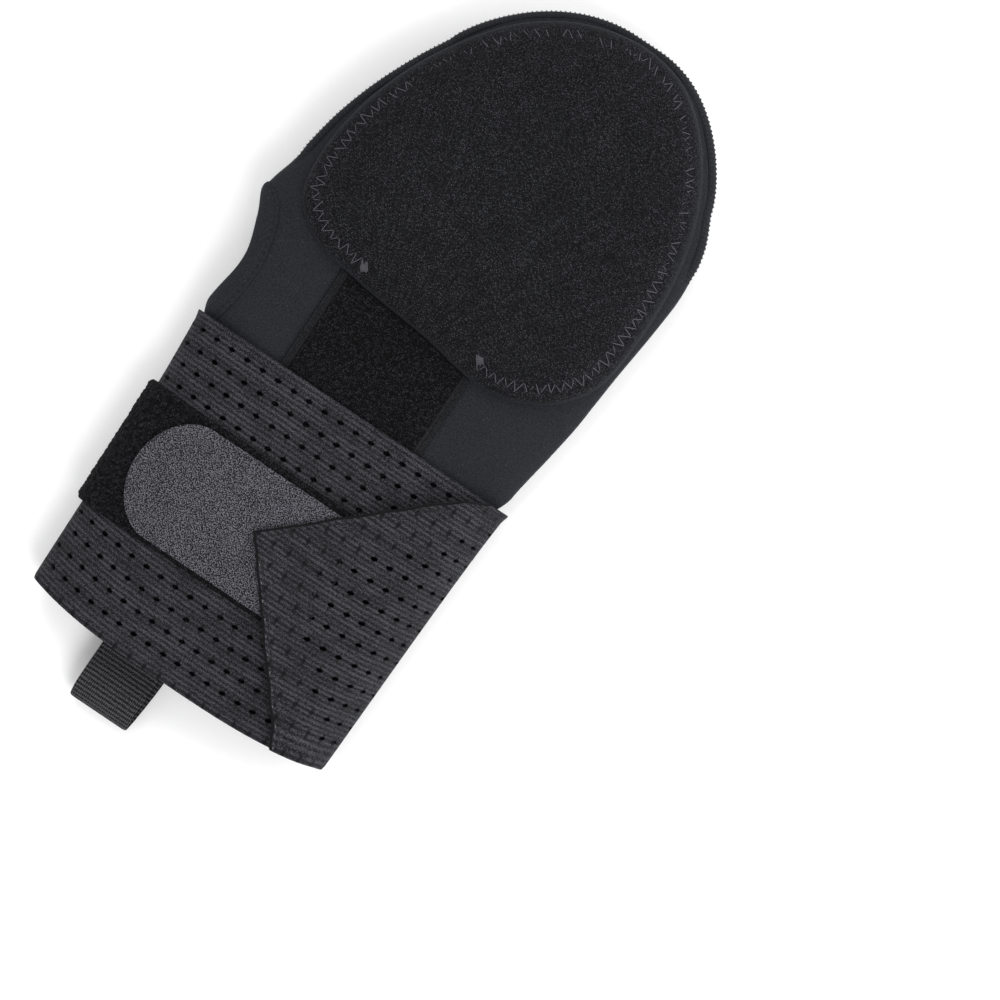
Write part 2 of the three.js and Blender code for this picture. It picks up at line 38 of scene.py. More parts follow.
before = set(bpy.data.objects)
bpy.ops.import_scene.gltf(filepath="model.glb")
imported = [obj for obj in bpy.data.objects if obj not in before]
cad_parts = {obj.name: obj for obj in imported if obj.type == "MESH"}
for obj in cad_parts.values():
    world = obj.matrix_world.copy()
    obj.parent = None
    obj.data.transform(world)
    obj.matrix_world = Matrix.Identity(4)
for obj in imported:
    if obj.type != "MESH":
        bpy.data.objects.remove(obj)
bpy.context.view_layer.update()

MM = 0.001
TURN = 2 * math.pi
QUARTER = math.pi / 2

# Fit between pieces
GAP = 0.3

# Body
BODY_LENGTH = 291.5
BODY_WIDTH = 150
BODY_WALL = 3
FOLDED_EDGE = 4
HOLLOW_HEIGHT = 14
ROUNDED_TIP = 38.5
TIP_SWELL = 50
TIP_FLAT = 6
TIP_EDGE = 2.2
TIP_WALL = 11
TIP_ROUNDING = 1.25
HAND_RISE = 64

# Wrist strap
STRAP_WIDTH = 120.8
STRAP_BOW = 4.5
STRAP_BELOW_MOUTH = 1.8
STRAP_THICKNESS = 1.3
HEM_FOLD = 3.2
HEM_FOLD_END = 3.9
HEM_THICKER = 0.55
STRAP_SQUEEZE = 2.4
POINT_X = -6.7
POINT_BELOW_TOP = 56
UPPER_SHOULDER_X = 58.5
LOWER_SHOULDER_X = 42
EYELET_ROWS = 15
EYELET_FIRST = 5.7
EYELET_ROW_PITCH = 7.6
EYELET_START = 5
FLAP_DRIFT = -3.4
DRIFT_BORDER = 9
BLIND_BORDER = 15
SEWN_END = 9
EYELET_PITCH = 6.6
EYELET_WIDTH = 2.5
EYELET_HEIGHT = 1.5
RIBS_PER_ROW = 4
# width of the strip of painted shadow just inside the edges of the strap's point
POINT_SHADOW_WIDTH = 0.9
HEM_WAVE = 0.45
HEM_STITCH_INSET = 2.5
HEM_SPOT_INSET = 1.3
SEWN_ROWS = (2.4, 5.0)

# Layers under and on the strap
UNDERLAY_THICKNESS = 1.5
PATCH_THICKNESS = 1.5
PATCH_WIDTH = 51.4
PATCH_BELOW_TOP = 31
PATCH_RIGHT = 36
PATCH_UNDERSIDE = 15
PATCH_SLACK = 1.2
PILE_RISE = 0.4
TAB_THICKNESS = 1.5
TAB_WIDTH = 46.8
TAB_BELOW_TOP = 57.2
TAB_LEFT = -56.2
TAB_ROUND = 17.5
TAB_ROOT = 28

# Pads
PAD_LENGTH = 137
PAD_WIDTH = 136
PAD_CENTRE_X = 4.3
PAD_TIP_INSET = 1.7
PAD_THICKNESS = 9.5
PAD_BORDER = 1.8
PAD_SHOULDER = 20
PAD_FLATTENING = 0.8
STITCH_INSET = 5.6
ZIGZAG_PITCH = 3.9
ZIGZAG_HEIGHT = 4.0
ZIGZAG_SINK = 0.24
TACKS = ((-26.6, 165.2), (27.1, 160.4))
TACK_WIDTH = 2.3
TACK_LENGTH = 3.6

# Strips on the body
STRIP_LEFT = -33.5
STRIP_RIGHT = 28
PANEL_LEFT = -35.8
PANEL_RIGHT = 22
PANEL_ABOVE_MOUTH = 16
STRIP_ABOVE_MOUTH = 12
SELVAGE = 3

# Thumb hole and its hem
HOLE_LENGTH = 48
HOLE_HEIGHT = 11
HOLE_ABOVE_MOUTH = 145
HOLE_SQUARENESS = 8
HEM_THICKNESS = 0.9
HEM_BAND_LOW = 108.0
HEM_BAND_HIGH = 182.0
HEM_MIDDLE = 143.4
HEM_REACH = 29.2
HEM_STITCH_SHARE = 0.16
HEM_ARC = (1.2 * QUARTER, 2 * QUARTER, 2.8 * QUARTER)

# Cuff edge
CUFF_BAND = 6
CUFF_THICKNESS = 0.7
CUFF_PRESS = 1
MOUTH_BOW_REACH = 25

# Rim seam
SEAM_START = 184
SEAM_END = 224
SEAM_COVER = 2.4
SEAM_TAPER = 9
OVERLOCK_PITCH = 1.75
THREAD_END = 0.45

# Pull loop
WEBBING_WIDTH = 25
WEBBING_THICKNESS = 1.1
WEBBING_LEFT = -32
LOOP_LENGTH = 25.2
LOOP_BELLY = 1.4
LOOP_GRIP = 14
WEBBING_RIB = 1.7
WEBBING_RIB_HEIGHT = 0.17
WEBBING_SKEW = 2.2

# Outline of the body from the wrist mouth to where the tip's round begins.
# Columns: share of that length, then the thumb's and little finger's shares of half the width
OUTLINE = np.array([
    (0, 0.87, 0.796),
    (0.348, 0.894, 0.83),
    (0.494, 0.923, 0.861),
    (0.573, 0.911, 0.903),
    (0.632, 0.957, 0.932),
    (0.672, 0.998, 0.943),
    (0.731, 0.951, 0.96),
    (0.814, 0.9, 0.989),
    (0.881, 0.831, 1.0),
    (0.949, 0.732, 0.963),
    (1, 0.639, 0.888),
])

# Outline of a pad, once round.
# Columns: share of half its width from its middle, share of its length from its lower edge
PAD_OUTLINE = np.array([
    (0.46, 0),
    (-0.01, 0.027),
    (-0.47, 0.051),
    (-0.78, 0.085),
    (-0.953, 0.155),
    (-1.005, 0.28),
    (-0.968, 0.45),
    (-0.86, 0.61),
    (-0.705, 0.745),
    (-0.49, 0.872),
    (-0.205, 0.962),
    (0.135, 1),
    (0.44, 0.965),
    (0.71, 0.845),
    (0.885, 0.69),
    (0.97, 0.515),
    (0.985, 0.33),
    (0.94, 0.17),
    (0.77, 0.06),
])

# Places that follow from the sizes above
ROUND_START = BODY_LENGTH - ROUNDED_TIP
STRAP_TOP = STRAP_WIDTH - STRAP_BELOW_MOUTH
PAD_LOW = BODY_LENGTH - PAD_TIP_INSET - PAD_LENGTH
BODY_HALF = HOLLOW_HEIGHT / 2 + BODY_WALL
UNDER_STRAP = GAP + UNDERLAY_THICKNESS + GAP
OVER_STRAP = UNDER_STRAP + STRAP_THICKNESS + GAP
OVER_PATCH = OVER_STRAP + PATCH_THICKNESS + GAP
OVER_TAB = OVER_PATCH + TAB_THICKNESS + GAP
HAND_MIDDLE = BODY_HALF + GAP + PAD_THICKNESS - PAD_FLATTENING
WRIST_MIDDLE = BODY_HALF + UNDER_STRAP + STRAP_THICKNESS

# Where the wrist mouth's middle line is in the frame
SHIFT = np.array([
    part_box("pull_loop")[0][0] / MM - WEBBING_LEFT,
    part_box("mitt_body")[0][1] / MM,
    0,
])

rng = np.random.default_rng(7)


def smoothstep(x, low, high):
    share = np.clip((x - low) / (high - low), 0, 1)
    return share * share * (3 - 2 * share)


def lerp(a, b, share):
    return a + (b - a) * share


def unit(vectors):
    return vectors / np.maximum(np.linalg.norm(vectors, axis=-1, keepdims=True), 1e-9)


def lengths_along(path):
    """The length along a path up to each of its points."""
    steps = np.linalg.norm(np.diff(path, axis=0), axis=1)
    return np.concatenate([[0], np.cumsum(steps)])


def divide(path, count):
    """A path's points taken anew, at the ends of a number of even steps."""
    lengths = lengths_along(path)
    places = np.linspace(0, lengths[-1], count + 1)
    return np.stack([np.interp(places, lengths, column) for column in path.T], -1)


def resample(path, step):
    """Points that lie an even step apart along an open path."""
    return divide(path, max(int(round(lengths_along(path)[-1] / step)), 1))


# The body's shape


def outline_share(column, along):
    """A smooth value of the outline's table at a place along it."""
    place = np.clip(along, 0, 1)
    stations = OUTLINE[:, 0]
    values = OUTLINE[:, column]
    row = np.clip(np.searchsorted(stations, place) - 1, 0, len(stations) - 2)
    before = np.maximum(row - 1, 0)
    after = np.minimum(row + 2, len(stations) - 1)
    span = stations[row + 1] - stations[row]
    share = (place - stations[row]) / span
    low_slope = span * (values[row + 1] - values[before]) / (stations[row + 1] - stations[before])
    high_slope = span * (values[after] - values[row]) / (stations[after] - stations[row])
    square = share ** 2
    cube = share ** 3
    return (
        values[row] * (2 * cube - 3 * square + 1) + low_slope * (cube - 2 * square + share)
        + values[row + 1] * (3 * square - 2 * cube) + high_slope * (cube - square)
    )


def section_at(y):
    """The body's flattened section at heights above the wrist mouth."""
    y = np.asarray(y, float)
    squeeze = STRAP_SQUEEZE * (1 - smoothstep(y, STRAP_TOP - 4, STRAP_TOP + 6))
    thumb_x = -BODY_WIDTH / 2 * outline_share(1, y / ROUND_START) + squeeze
    pinky_x = BODY_WIDTH / 2 * outline_share(2, y / ROUND_START) - squeeze
    rounded = np.clip((y - ROUND_START) / ROUNDED_TIP, 0, 1)
    narrowing = np.sqrt(1 - rounded ** TIP_ROUNDING)
    tip_x = (thumb_x + pinky_x) / 2 + 0.7 * TIP_FLAT
    thumb_x = lerp(tip_x - TIP_FLAT, thumb_x, narrowing)
    pinky_x = lerp(tip_x + TIP_FLAT, pinky_x, narrowing)
    from_tip = np.clip((BODY_LENGTH - y) / TIP_SWELL, 0, 1)
    swell = np.sqrt(1 - (1 - from_tip) ** 2)
    from_hole = np.clip(np.abs(y - HOLE_ABOVE_MOUTH) / (0.75 * HOLE_LENGTH), 0, 1)
    return SimpleNamespace(
        centre=(thumb_x + pinky_x) / 2,
        half_width=(pinky_x - thumb_x) / 2,
        middle=lerp(WRIST_MIDDLE, HAND_MIDDLE, smoothstep(y, STRAP_TOP, STRAP_TOP + HAND_RISE)),
        half_height=lerp(TIP_EDGE, BODY_HALF, swell),
        thumb_power=4 + HOLE_SQUARENESS * (1 - smoothstep(from_hole, 0.3, 1)),
    )


def hollow_at(y):
    """The section of the hollow inside the body."""
    y = np.asarray(y, float)
    outer = section_at(y * BODY_LENGTH / (BODY_LENGTH - TIP_WALL / 2))
    outer.middle = section_at(y).middle
    outer.half_width = outer.half_width - FOLDED_EDGE
    outer.half_height = outer.half_height - BODY_WALL
    return outer


def point_on(section, y, angle, offset):
    """Points on a section, or off it by an offset. The angle is 0 at the little finger's
    edge, a quarter turn on top and half a turn at the thumb's edge."""
    cosine = np.cos(angle)
    power = np.where(cosine < 0, section.thumb_power, 4.0)
    across = np.sign(cosine) * np.abs(cosine) ** (2 / power)
    up = np.sin(angle)
    slope_x = power * np.sign(across) * np.abs(across) ** (power - 1) / section.half_width
    slope_z = 2 * up / section.half_height
    size = np.hypot(slope_x, slope_z)
    x = section.centre + across * section.half_width + offset * slope_x / size
    z = section.middle + up * section.half_height + offset * slope_z / size
    return np.stack(np.broadcast_arrays(x, y, z), axis=-1)


def angle_at(y, x):
    """The angle at which the section's upper half has a given X."""
    section = section_at(y)
    across = np.clip((x - section.centre) / section.half_width, -1, 1)
    power = np.where(across < 0, section.thumb_power, 4.0)
    return np.arccos(np.sign(across) * np.abs(across) ** (power / 2))


def half_thickness(x, y):
    """Half the body's thickness over places inside its outline."""
    return section_at(y).half_height * np.sin(angle_at(y, x))


def angles_between(start, end, y):
    """Angles from start to end, close together where the section bends or runs flat."""
    power = float(section_at(y).thumb_power)
    found = [start, end]
    first = math.floor(start / QUARTER)
    for quadrant in range(first, math.ceil(end / QUARTER)):
        towards_thumb = quadrant % 4 in (1, 2)
        across = np.linspace(0, 1, 160)
        up = np.linspace(0, 1, 50)
        base = np.concatenate([
            np.arccos(across ** ((power if towards_thumb else 4.0) / 2)),
            np.arcsin(up),
        ])
        if quadrant % 2:
            base = (quadrant + 1) * QUARTER - base
        else:
            base = quadrant * QUARTER + base
        found.extend(base[(base > start) & (base < end)])
    return np.unique(found)


def even_angles(start, end, y, section, offset, count):
    """Angles that are an even distance apart along a section."""
    angles = angles_between(start, end, y)
    lengths = lengths_along(point_on(section, y, angles, offset))
    return np.interp(np.linspace(0, lengths[-1], count + 1), lengths, angles)


def ring_angles(y, section, offset, per_quarter):
    """Angles once round a section, the same number in each quarter."""
    return np.concatenate([
        even_angles(quarter * QUARTER, (quarter + 1) * QUARTER, y, section, offset, per_quarter)[:-1]
        for quarter in range(4)
    ])


def even_ring(y, section, offset, per_quarter):
    """A ring of points round a section, the same number in each quarter."""
    return point_on(section, y, ring_angles(y, section, offset, per_quarter), offset)


def bow_mouth(points):
    """Draws the mouth's sides in as far as the strap's lower edge is bowed there."""
    section = section_at(points[:, 1])
    across = np.clip(np.abs(points[:, 0] - section.centre) / section.half_width, 0, 1)
    fade = 1 - smoothstep(points[:, 1], 0, MOUTH_BOW_REACH)
    bowed = points.copy()
    bowed[:, 1] += STRAP_BOW * across ** 3 * fade
    return bowed


# Meshes


def make_object(name, points, faces, material, uv=None, sharp=40.0):
    """A mesh object from points in millimetres, smooth except where faces meet sharply."""
    points = (np.asarray(points, float) + SHIFT) * MM
    mesh = bpy.data.meshes.new(name)
    mesh.from_pydata(points.tolist(), [], [tuple(int(i) for i in face) for face in faces])
    mesh.validate()
    if uv is not None:
        corners = np.empty(len(mesh.loops), int)
        mesh.loops.foreach_get("vertex_index", corners)
        layer = mesh.uv_layers.new(name="flat")
        layer.uv.foreach_set("vector", np.asarray(uv, np.float32)[corners].ravel())
    mesh.polygons.foreach_set("use_smooth", [True] * len(mesh.polygons))
    mesh.set_sharp_from_angle(angle=math.radians(sharp))
    mesh.materials.append(material)
    piece = bpy.data.objects.new(name, mesh)
    bpy.context.collection.objects.link(piece)
    return piece


def solid_object(name, points, faces, material, uv=None, sharp=40.0):
    """An object whose mesh is closed, with its faces turned outwards."""
    piece = make_object(name, points, faces, material, uv, sharp)
    form = bmesh.new()
    form.from_mesh(piece.data)
    bmesh.ops.recalc_face_normals(form, faces=form.faces)
    form.to_mesh(piece.data)
    form.free()
    return piece


def grid_faces(rows, columns, closed=False, looped=False):
    """Quads of a grid whose points run along its columns first. closed joins its last
    column to its first one, and looped its last row to its first one."""
    low = np.arange(rows if looped else rows - 1)[:, None] * columns
    high = (low + columns) % (rows * columns)
    steps = np.arange(columns if closed else columns - 1)[None, :]
    following = (steps + 1) % columns
    quads = np.stack([low + steps, low + following, high + following, high + steps], -1)
    return quads.reshape(-1, 4).tolist()


def tube_faces(rings, columns):
    """Faces of rings of points that make a tube with closed ends."""
    last = range((rings - 1) * columns, rings * columns)
    return grid_faces(rings, columns, closed=True) + [list(range(columns))[::-1], list(last)]


def flat_grid(us, vs):
    """A flat grid's points and quads, with u along its columns and v along its rows."""
    v, u = np.meshgrid(vs, us, indexing="ij")
    return np.stack([u.ravel(), v.ravel()], -1), grid_faces(len(vs), len(us))


def mark(piece, name, values):
    """Keeps a number at each point of a mesh, for its material."""
    layer = piece.data.attributes.new(name, "FLOAT", "POINT")
    layer.data.foreach_set("value", np.asarray(values, np.float32))


def sheet_mesh(name, flat, faces, top, bottom, material, lift=None):
    """A closed cloth sheet. flat are its points as cut, top and bottom where they lie, and
    lift says how high the pile stands at each of them, from 0 to 1; the pile's material also
    paints a highlight where the pile stands high."""
    count = len(flat)
    edges = {}
    for face in faces:
        for a, b in zip(face, list(face[1:]) + [face[0]]):
            edges[(a, b)] = True
    walls = [(b, a, a + count, b + count) for a, b in edges if (b, a) not in edges]
    under = [tuple(count + i for i in reversed(face)) for face in faces]
    faces = list(faces) + under + walls
    piece = solid_object(name, np.concatenate([top, bottom]), faces, material, np.tile(flat, (2, 1)))
    if lift is not None:
        mark(piece, "lift", np.tile(lift, 2))
    return piece


def tube_mesh(paths, ups, radius, sides=6):
    """Points, faces and flat coordinates of threads. paths is threads x points x 3, and ups
    gives a direction at each point that the thread doesn't run along."""
    paths = np.asarray(paths, float)
    threads, count = paths.shape[:2]
    side = unit(np.cross(unit(np.gradient(paths, axis=1)), ups))
    up = np.cross(side, unit(np.gradient(paths, axis=1)))
    around = np.arange(sides) * TURN / sides
    size = np.full(count, float(radius))
    size[[0, -1]] *= THREAD_END
    ring = (
        np.cos(around)[:, None] * side[:, :, None, :]
        + np.sin(around)[:, None] * up[:, :, None, :]
    )
    points = paths[:, :, None, :] + size[None, :, None, None] * ring
    one_thread = tube_faces(count, sides)
    faces = [
        [corner + start for corner in face]
        for start in range(0, threads * count * sides, count * sides)
        for face in one_thread
    ]
    lengths = np.stack([lengths_along(path) for path in paths])
    flat = np.stack(np.broadcast_arrays(lengths[:, :, None], around[None, None, :] / TURN), -1)
    return points.reshape(-1, 3), faces, flat.reshape(-1, 2)


def thread_object(name, parts, material):
    """One object out of several parts, each with its points, faces and flat coordinates."""
    points, faces, flats = zip(*parts)
    starts = np.cumsum([0] + [len(part) for part in points])
    joined = [[corner + start for corner in face] for part, start in zip(faces, starts) for face in part]
    return make_object(name, np.concatenate(points), joined, material, np.concatenate(flats), sharp=80)


def bumpy(x, y, pitch, seed):
    """Rounded bumps of loop pile over flat places, from 0 between them to 1 on top."""
    made = np.random.default_rng(seed)
    jitter = made.uniform(-0.32, 0.32, (256, 256, 2))
    tall = made.uniform(0.45, 1.0, (256, 256))
    best = np.zeros_like(x)
    for row in (-1, 0, 1):
        for column in (-1, 0, 1):
            i = np.floor(y / pitch).astype(int) + row
            j = np.floor(x / pitch).astype(int) + column
            shift = jitter[i % 256, j % 256]
            to_u = x / pitch - (j + 0.5 + shift[..., 0] + 0.5 * (i % 2))
            to_v = y / pitch - (i + 0.5 + shift[..., 1])
            bump = np.clip(1 - (to_u ** 2 + to_v ** 2) / 0.42, 0, 1) ** 0.6
            best = np.maximum(best, tall[i % 256, j % 256] * bump)
    return best


def ripple(x, y, pitch, seed):
    """Gentle uneven rise and fall over flat places, about -1 to 1."""
    made = np.random.default_rng(seed)
    total = np.zeros_like(np.asarray(x, float))
    for _ in range(6):
        direction = made.uniform(0, TURN)
        length = pitch * made.uniform(0.7, 1.7)
        phase = made.uniform(0, TURN)
        run = x * math.cos(direction) + y * math.sin(direction)
        total += np.sin(TURN * run / length + phase)
    return total / 3.2


# Bands wound round the body


class Winding:
    """A band wound round the body. Flat places are (u, v), u along it from its start and v
    down from its top edge. place() gives where they lie in space. y_of and offset_of say
    where the band runs at an angle, and stops_of gives the angles where its legs end."""

    def __init__(self, width, y_of, offset_of, stops_of, rows=49, step=0.5):
        self.width = width
        self.shares = np.linspace(0, 1, rows)
        self.y_of, self.offset_of, self.stops_of = y_of, offset_of, stops_of
        middle = self.row(0.5, None, step)
        self.stops = np.concatenate([[0], np.cumsum(middle.lengths)])
        self.u = np.concatenate([[0]] + [
            np.linspace(self.stops[leg], self.stops[leg + 1], count + 1)[1:]
            for leg, count in enumerate(middle.counts)
        ])
        made = [self.row(share, middle.counts, step) for share in self.shares]
        self.points = np.stack([row.points for row in made])
        self.normals = np.stack([row.normals for row in made])

    def row(self, share, counts, step):
        """One line along the band. Each leg of it is divided evenly."""
        stops = self.stops_of(share)
        points, normals, lengths, used = [], [], [], []
        for leg, (start, end) in enumerate(zip(stops[:-1], stops[1:])):
            angles = angles_between(start, end, float(self.y_of(share, (start + end) / 2)))
            ys = self.y_of(share, angles)
            run = lengths_along(point_on(section_at(ys), ys, angles, self.offset_of(angles)))
            count = counts[leg] if counts else max(int(run[-1] / step), 2)
            places = np.linspace(0, run[-1], count + 1)
            chosen = np.interp(places, run, angles)[(0 if leg == 0 else 1):]
            ys = self.y_of(share, chosen)
            section = section_at(ys)
            offset = self.offset_of(chosen)
            points.append(point_on(section, ys, chosen, offset))
            normals.append(point_on(section, ys, chosen, offset + 1) - points[-1])
            lengths.append(run[-1])
            used.append(count)
        return SimpleNamespace(
            points=np.concatenate(points), normals=np.concatenate(normals), lengths=lengths, counts=used)

    def place(self, flat, height):
        """Where flat places lie, at a height over the band's inner face."""
        column = np.interp(flat[:, 0], self.u, np.arange(len(self.u)))
        row = np.clip(flat[:, 1] / self.width, 0, 1) * (len(self.shares) - 1)
        c = np.minimum(column.astype(int), len(self.u) - 2)
        r = np.minimum(row.astype(int), len(self.shares) - 2)
        over = (column - c)[:, None]

        def between(grid):
            return lerp(lerp(grid[r, c], grid[r, c + 1], over),
                        lerp(grid[r + 1, c], grid[r + 1, c + 1], over), (row - r)[:, None])

        return between(self.points) + unit(between(self.normals)) * np.reshape(height, (-1, 1))

    def u_at(self, share, x, after):
        """The place along the band where a row has a given X, after a place on the top."""
        inside = self.u > after
        xs = self.points[int(round(share * (len(self.shares) - 1))), inside, 0]
        order = np.argsort(xs)
        return float(np.interp(x, xs[order], self.u[inside][order]))


def strap_y(share, angle):
    """Y of a place across the strap, 0 at its top edge and 1 at its bottom edge."""
    return STRAP_TOP - share * (STRAP_WIDTH - STRAP_BOW * np.abs(np.cos(angle)) ** 1.5)


def strap_offset(angle):
    """How far the strap's inner face lies off the body as it winds round."""
    degrees = np.degrees(angle)
    first = lerp(GAP, UNDER_STRAP, smoothstep(degrees, -45, -15))
    second = (OVER_STRAP - UNDER_STRAP) * smoothstep(degrees, 305, 345)
    third = (OVER_TAB - OVER_STRAP) * smoothstep(degrees, 375, 410)
    return first + second + third


def strap_stops(share):
    y = strap_y(share, QUARTER)
    start = -float(angle_at(y, PANEL_RIGHT + 2 * GAP))
    end = TURN + float(angle_at(y, POINT_X - 12))
    return [start, 0, QUARTER, 2 * QUARTER, 3 * QUARTER, TURN, TURN + QUARTER, end]


def patch_y(share, angle):
    return STRAP_TOP - PATCH_BELOW_TOP - PATCH_WIDTH * share + 0 * angle


def patch_offset(angle):
    """How far the patch lies off the body: it stands off a little where it turns."""
    return OVER_STRAP + PATCH_SLACK * np.clip(-np.cos(angle), 0, 1) ** 2


def patch_stops(share):
    y = float(patch_y(share, 0))
    section = section_at(y)
    end_x = float(section.centre - section.half_width) + PATCH_UNDERSIDE
    return [float(angle_at(y, PATCH_RIGHT)), QUARTER, 2 * QUARTER, TURN - float(angle_at(y, end_x))]


# Materials


class Finish:
    """A cloth material made of shader nodes, and short words for those nodes."""

    def __init__(self, name):
        self.material = bpy.data.materials.new(name)
        self.material.use_nodes = True
        self.tree = self.material.node_tree
        self.shader = self.tree.nodes["Principled BSDF"]

    def node(self, kind, **inputs):
        """A new node, with a value or another node's result for each named input."""
        node = self.tree.nodes.new("ShaderNode" + kind)
        for name, value in inputs.items():
            self.join(value, node.inputs[name.replace("_", " ")])
        return node

    def join(self, value, socket):
        if isinstance(value, bpy.types.NodeSocket):
            self.tree.links.new(value, socket)
        else:
            socket.default_value = value

    def flat(self):
        """The piece's flat coordinates, in millimetres as it was cut."""
        node = self.node("UVMap")
        node.uv_map = "flat"
        return node.outputs["UV"]

    def solid(self):
        """The piece's coordinates in space, in millimetres."""
        return self.spread(self.node("TexCoord").outputs["Object"], (MM, MM, MM))

    def marked(self, name):
        """The number that a mesh keeps at each of its points."""
        node = self.node("Attribute")
        node.attribute_name = name
        return node.outputs["Fac"]

    def spread(self, vector, sizes):
        """A vector divided by a size along each axis."""
        node = self.node("VectorMath")
        node.operation = "MULTIPLY"
        self.join(vector, node.inputs[0])
        self.join(tuple(1 / size for size in sizes), node.inputs[1])
        return node.outputs["Vector"]

    def math(self, operation, a, b=0.0, c=0.0):
        node = self.node("Math")
        node.operation = operation
        for value, socket in zip((a, b, c), node.inputs):
            self.join(value, socket)
        return node.outputs["Value"]

    def times(self, a, b):
        return self.math("MULTIPLY", a, b)

    def blend(self, *parts):
        """The sum of some values, each times its weight."""
        total = 0.0
        for value, weight in parts:
            total = self.math("MULTIPLY_ADD", value, weight, total)
        return total

    def split(self, vector):
        node = self.node("SeparateXYZ", Vector=vector)
        return node.outputs["X"], node.outputs["Y"]

    def noise(self, vector, size, detail, stretch=(1, 1, 1)):
        """Cloudy noise of about 0 to 1, with clouds of a size in millimetres."""
        place = self.spread(vector, stretch)
        return self.node("TexNoise", Vector=place, Scale=1 / size, Detail=detail).outputs["Fac"]

    def cells(self, vector, size, stretch=(1, 1, 1), dimensions="3D", jitter=1.0):
        """Distance from the middle of scattered cells, and a random value for each cell."""
        place = self.spread(vector, stretch)
        node = self.node("TexVoronoi", Vector=place, Scale=1 / size, Randomness=jitter)
        node.voronoi_dimensions = dimensions
        value = self.node("SeparateColor", Color=node.outputs["Color"])
        return node.outputs["Distance"], value.outputs[0]

    def loops(self, place, size, evenness, stretch=(1, 1, 1), jitter=0.75):
        """Knitted loops of 0 to 1: each of its own brightness, with dark gaps between."""
        away, random = self.cells(place, size, stretch, "2D", jitter)
        bright = self.math("MULTIPLY_ADD", random, 1 - evenness, evenness)
        return self.times(self.between(away, 0.85, 0.05), bright)

    def flecks(self, place, size, rarity, reach, dimensions="3D"):
        """Scattered light flecks, in the cells whose random value is over the rarity."""
        away, random = self.cells(place, size, dimensions=dimensions)
        return self.times(self.between(random, rarity, 1.0), self.between(away, reach, 0.1))

    def wave(self, place, pitch, phase=0.0):
        """A sine of 0 to 1 that repeats every pitch millimetres."""
        turned = self.math("MULTIPLY_ADD", place, TURN / pitch, phase)
        return self.math("MULTIPLY_ADD", self.math("SINE", turned), 0.5, 0.5)

    def between(self, value, low, high, to_low=0.0, to_high=1.0):
        """A smooth step from to_low to to_high as value goes from low to high."""
        node = self.node("MapRange", Value=value, From_Min=low, From_Max=high, To_Min=to_low, To_Max=to_high)
        node.interpolation_type = "SMOOTHSTEP"
        return node.outputs["Result"]

    def grain(self, place, size):
        """Sharp fine grain of 0 to 1."""
        return self.between(self.noise(place, size, 1), 0.3, 0.7)

    def mix(self, share, a, b):
        node = self.node("Mix")
        node.data_type = "RGBA"
        self.join(share, node.inputs[0])
        for value, socket in ((a, node.inputs[6]), (b, node.inputs[7])):
            self.join((*value, 1) if isinstance(value, tuple) else value, socket)
        return node.outputs[2]

    def shades(self, value, low, high, colour, dark, light):
        """A colour that goes from its dark to its light tone as value goes from low to high."""
        return self.mix(self.between(value, low, high), tone(colour, dark), tone(colour, light))

    def finish(self, colour, height, depth, roughness, sheen=0.0, sheen_colour=(1, 1, 1)):
        """Sets the surface. depth is how far the bumps of height 0 to 1 rise, in millimetres."""
        bump = self.node("Bump", Strength=1.0, Distance=depth * MM, Height=height)
        surface = {
            "Normal": bump.outputs["Normal"],
            "Base Color": colour,
            "Roughness": roughness,
            "Specular IOR Level": 0.08,
            "Sheen Weight": sheen,
            "Sheen Roughness": 0.5,
            "Sheen Tint": (*sheen_colour, 1),
        }
        for name, value in surface.items():
            self.join(value, self.shader.inputs[name])
        return self.material


def tone(colour, factor):
    return tuple(factor * channel for channel in colour)


# Colours as linear red, green and blue
NEOPRENE = (0.0128, 0.0136, 0.0162)
PAD = (0.0098, 0.0099, 0.0113)
PILE = (0.004, 0.004, 0.0046)
ELASTIC = (0.0285, 0.0286, 0.0327)
HOOK_KNIT = (0.067, 0.0657, 0.0765)
BINDING = (0.0122, 0.0124, 0.0138)
WEBBING = (0.03, 0.03, 0.0325)
DARK_THREAD = (0.012, 0.0122, 0.0135)
# near black of the painted shadow along the edges of the strap's point
POINT_SHADOW_COLOUR = (0.004, 0.004, 0.0045)
LIGHT_THREAD = (0.074, 0.072, 0.083)
SPOT_THREAD = (0.1, 0.1, 0.107)


def neoprene_finish():
    """Fine jersey over neoprene, with faint mottling and a few light flecks."""
    made = Finish("neoprene_jersey")
    place = made.solid()
    clouds = made.noise(place, 14, 3)
    grain = made.noise(place, 0.5, 2)
    loops = made.loops(place, 0.6, 0.5)
    fleck = made.flecks(place, 0.9, 0.9, 0.4)
    shade = made.blend((grain, 0.7), (loops, 0.5), (clouds, 0.3))
    colour = made.shades(shade, 0.3, 1.05, NEOPRENE, 0.6, 1.6)
    colour = made.mix(made.times(fleck, 0.6), colour, tone(NEOPRENE, 4))
    height = made.blend((loops, 0.5), (grain, 0.5))
    rough = made.between(clouds, 0.3, 0.7, 0.76, 0.88)
    return made.finish(colour, height, 0.1, rough, 0.05, (0.6, 0.63, 0.7))


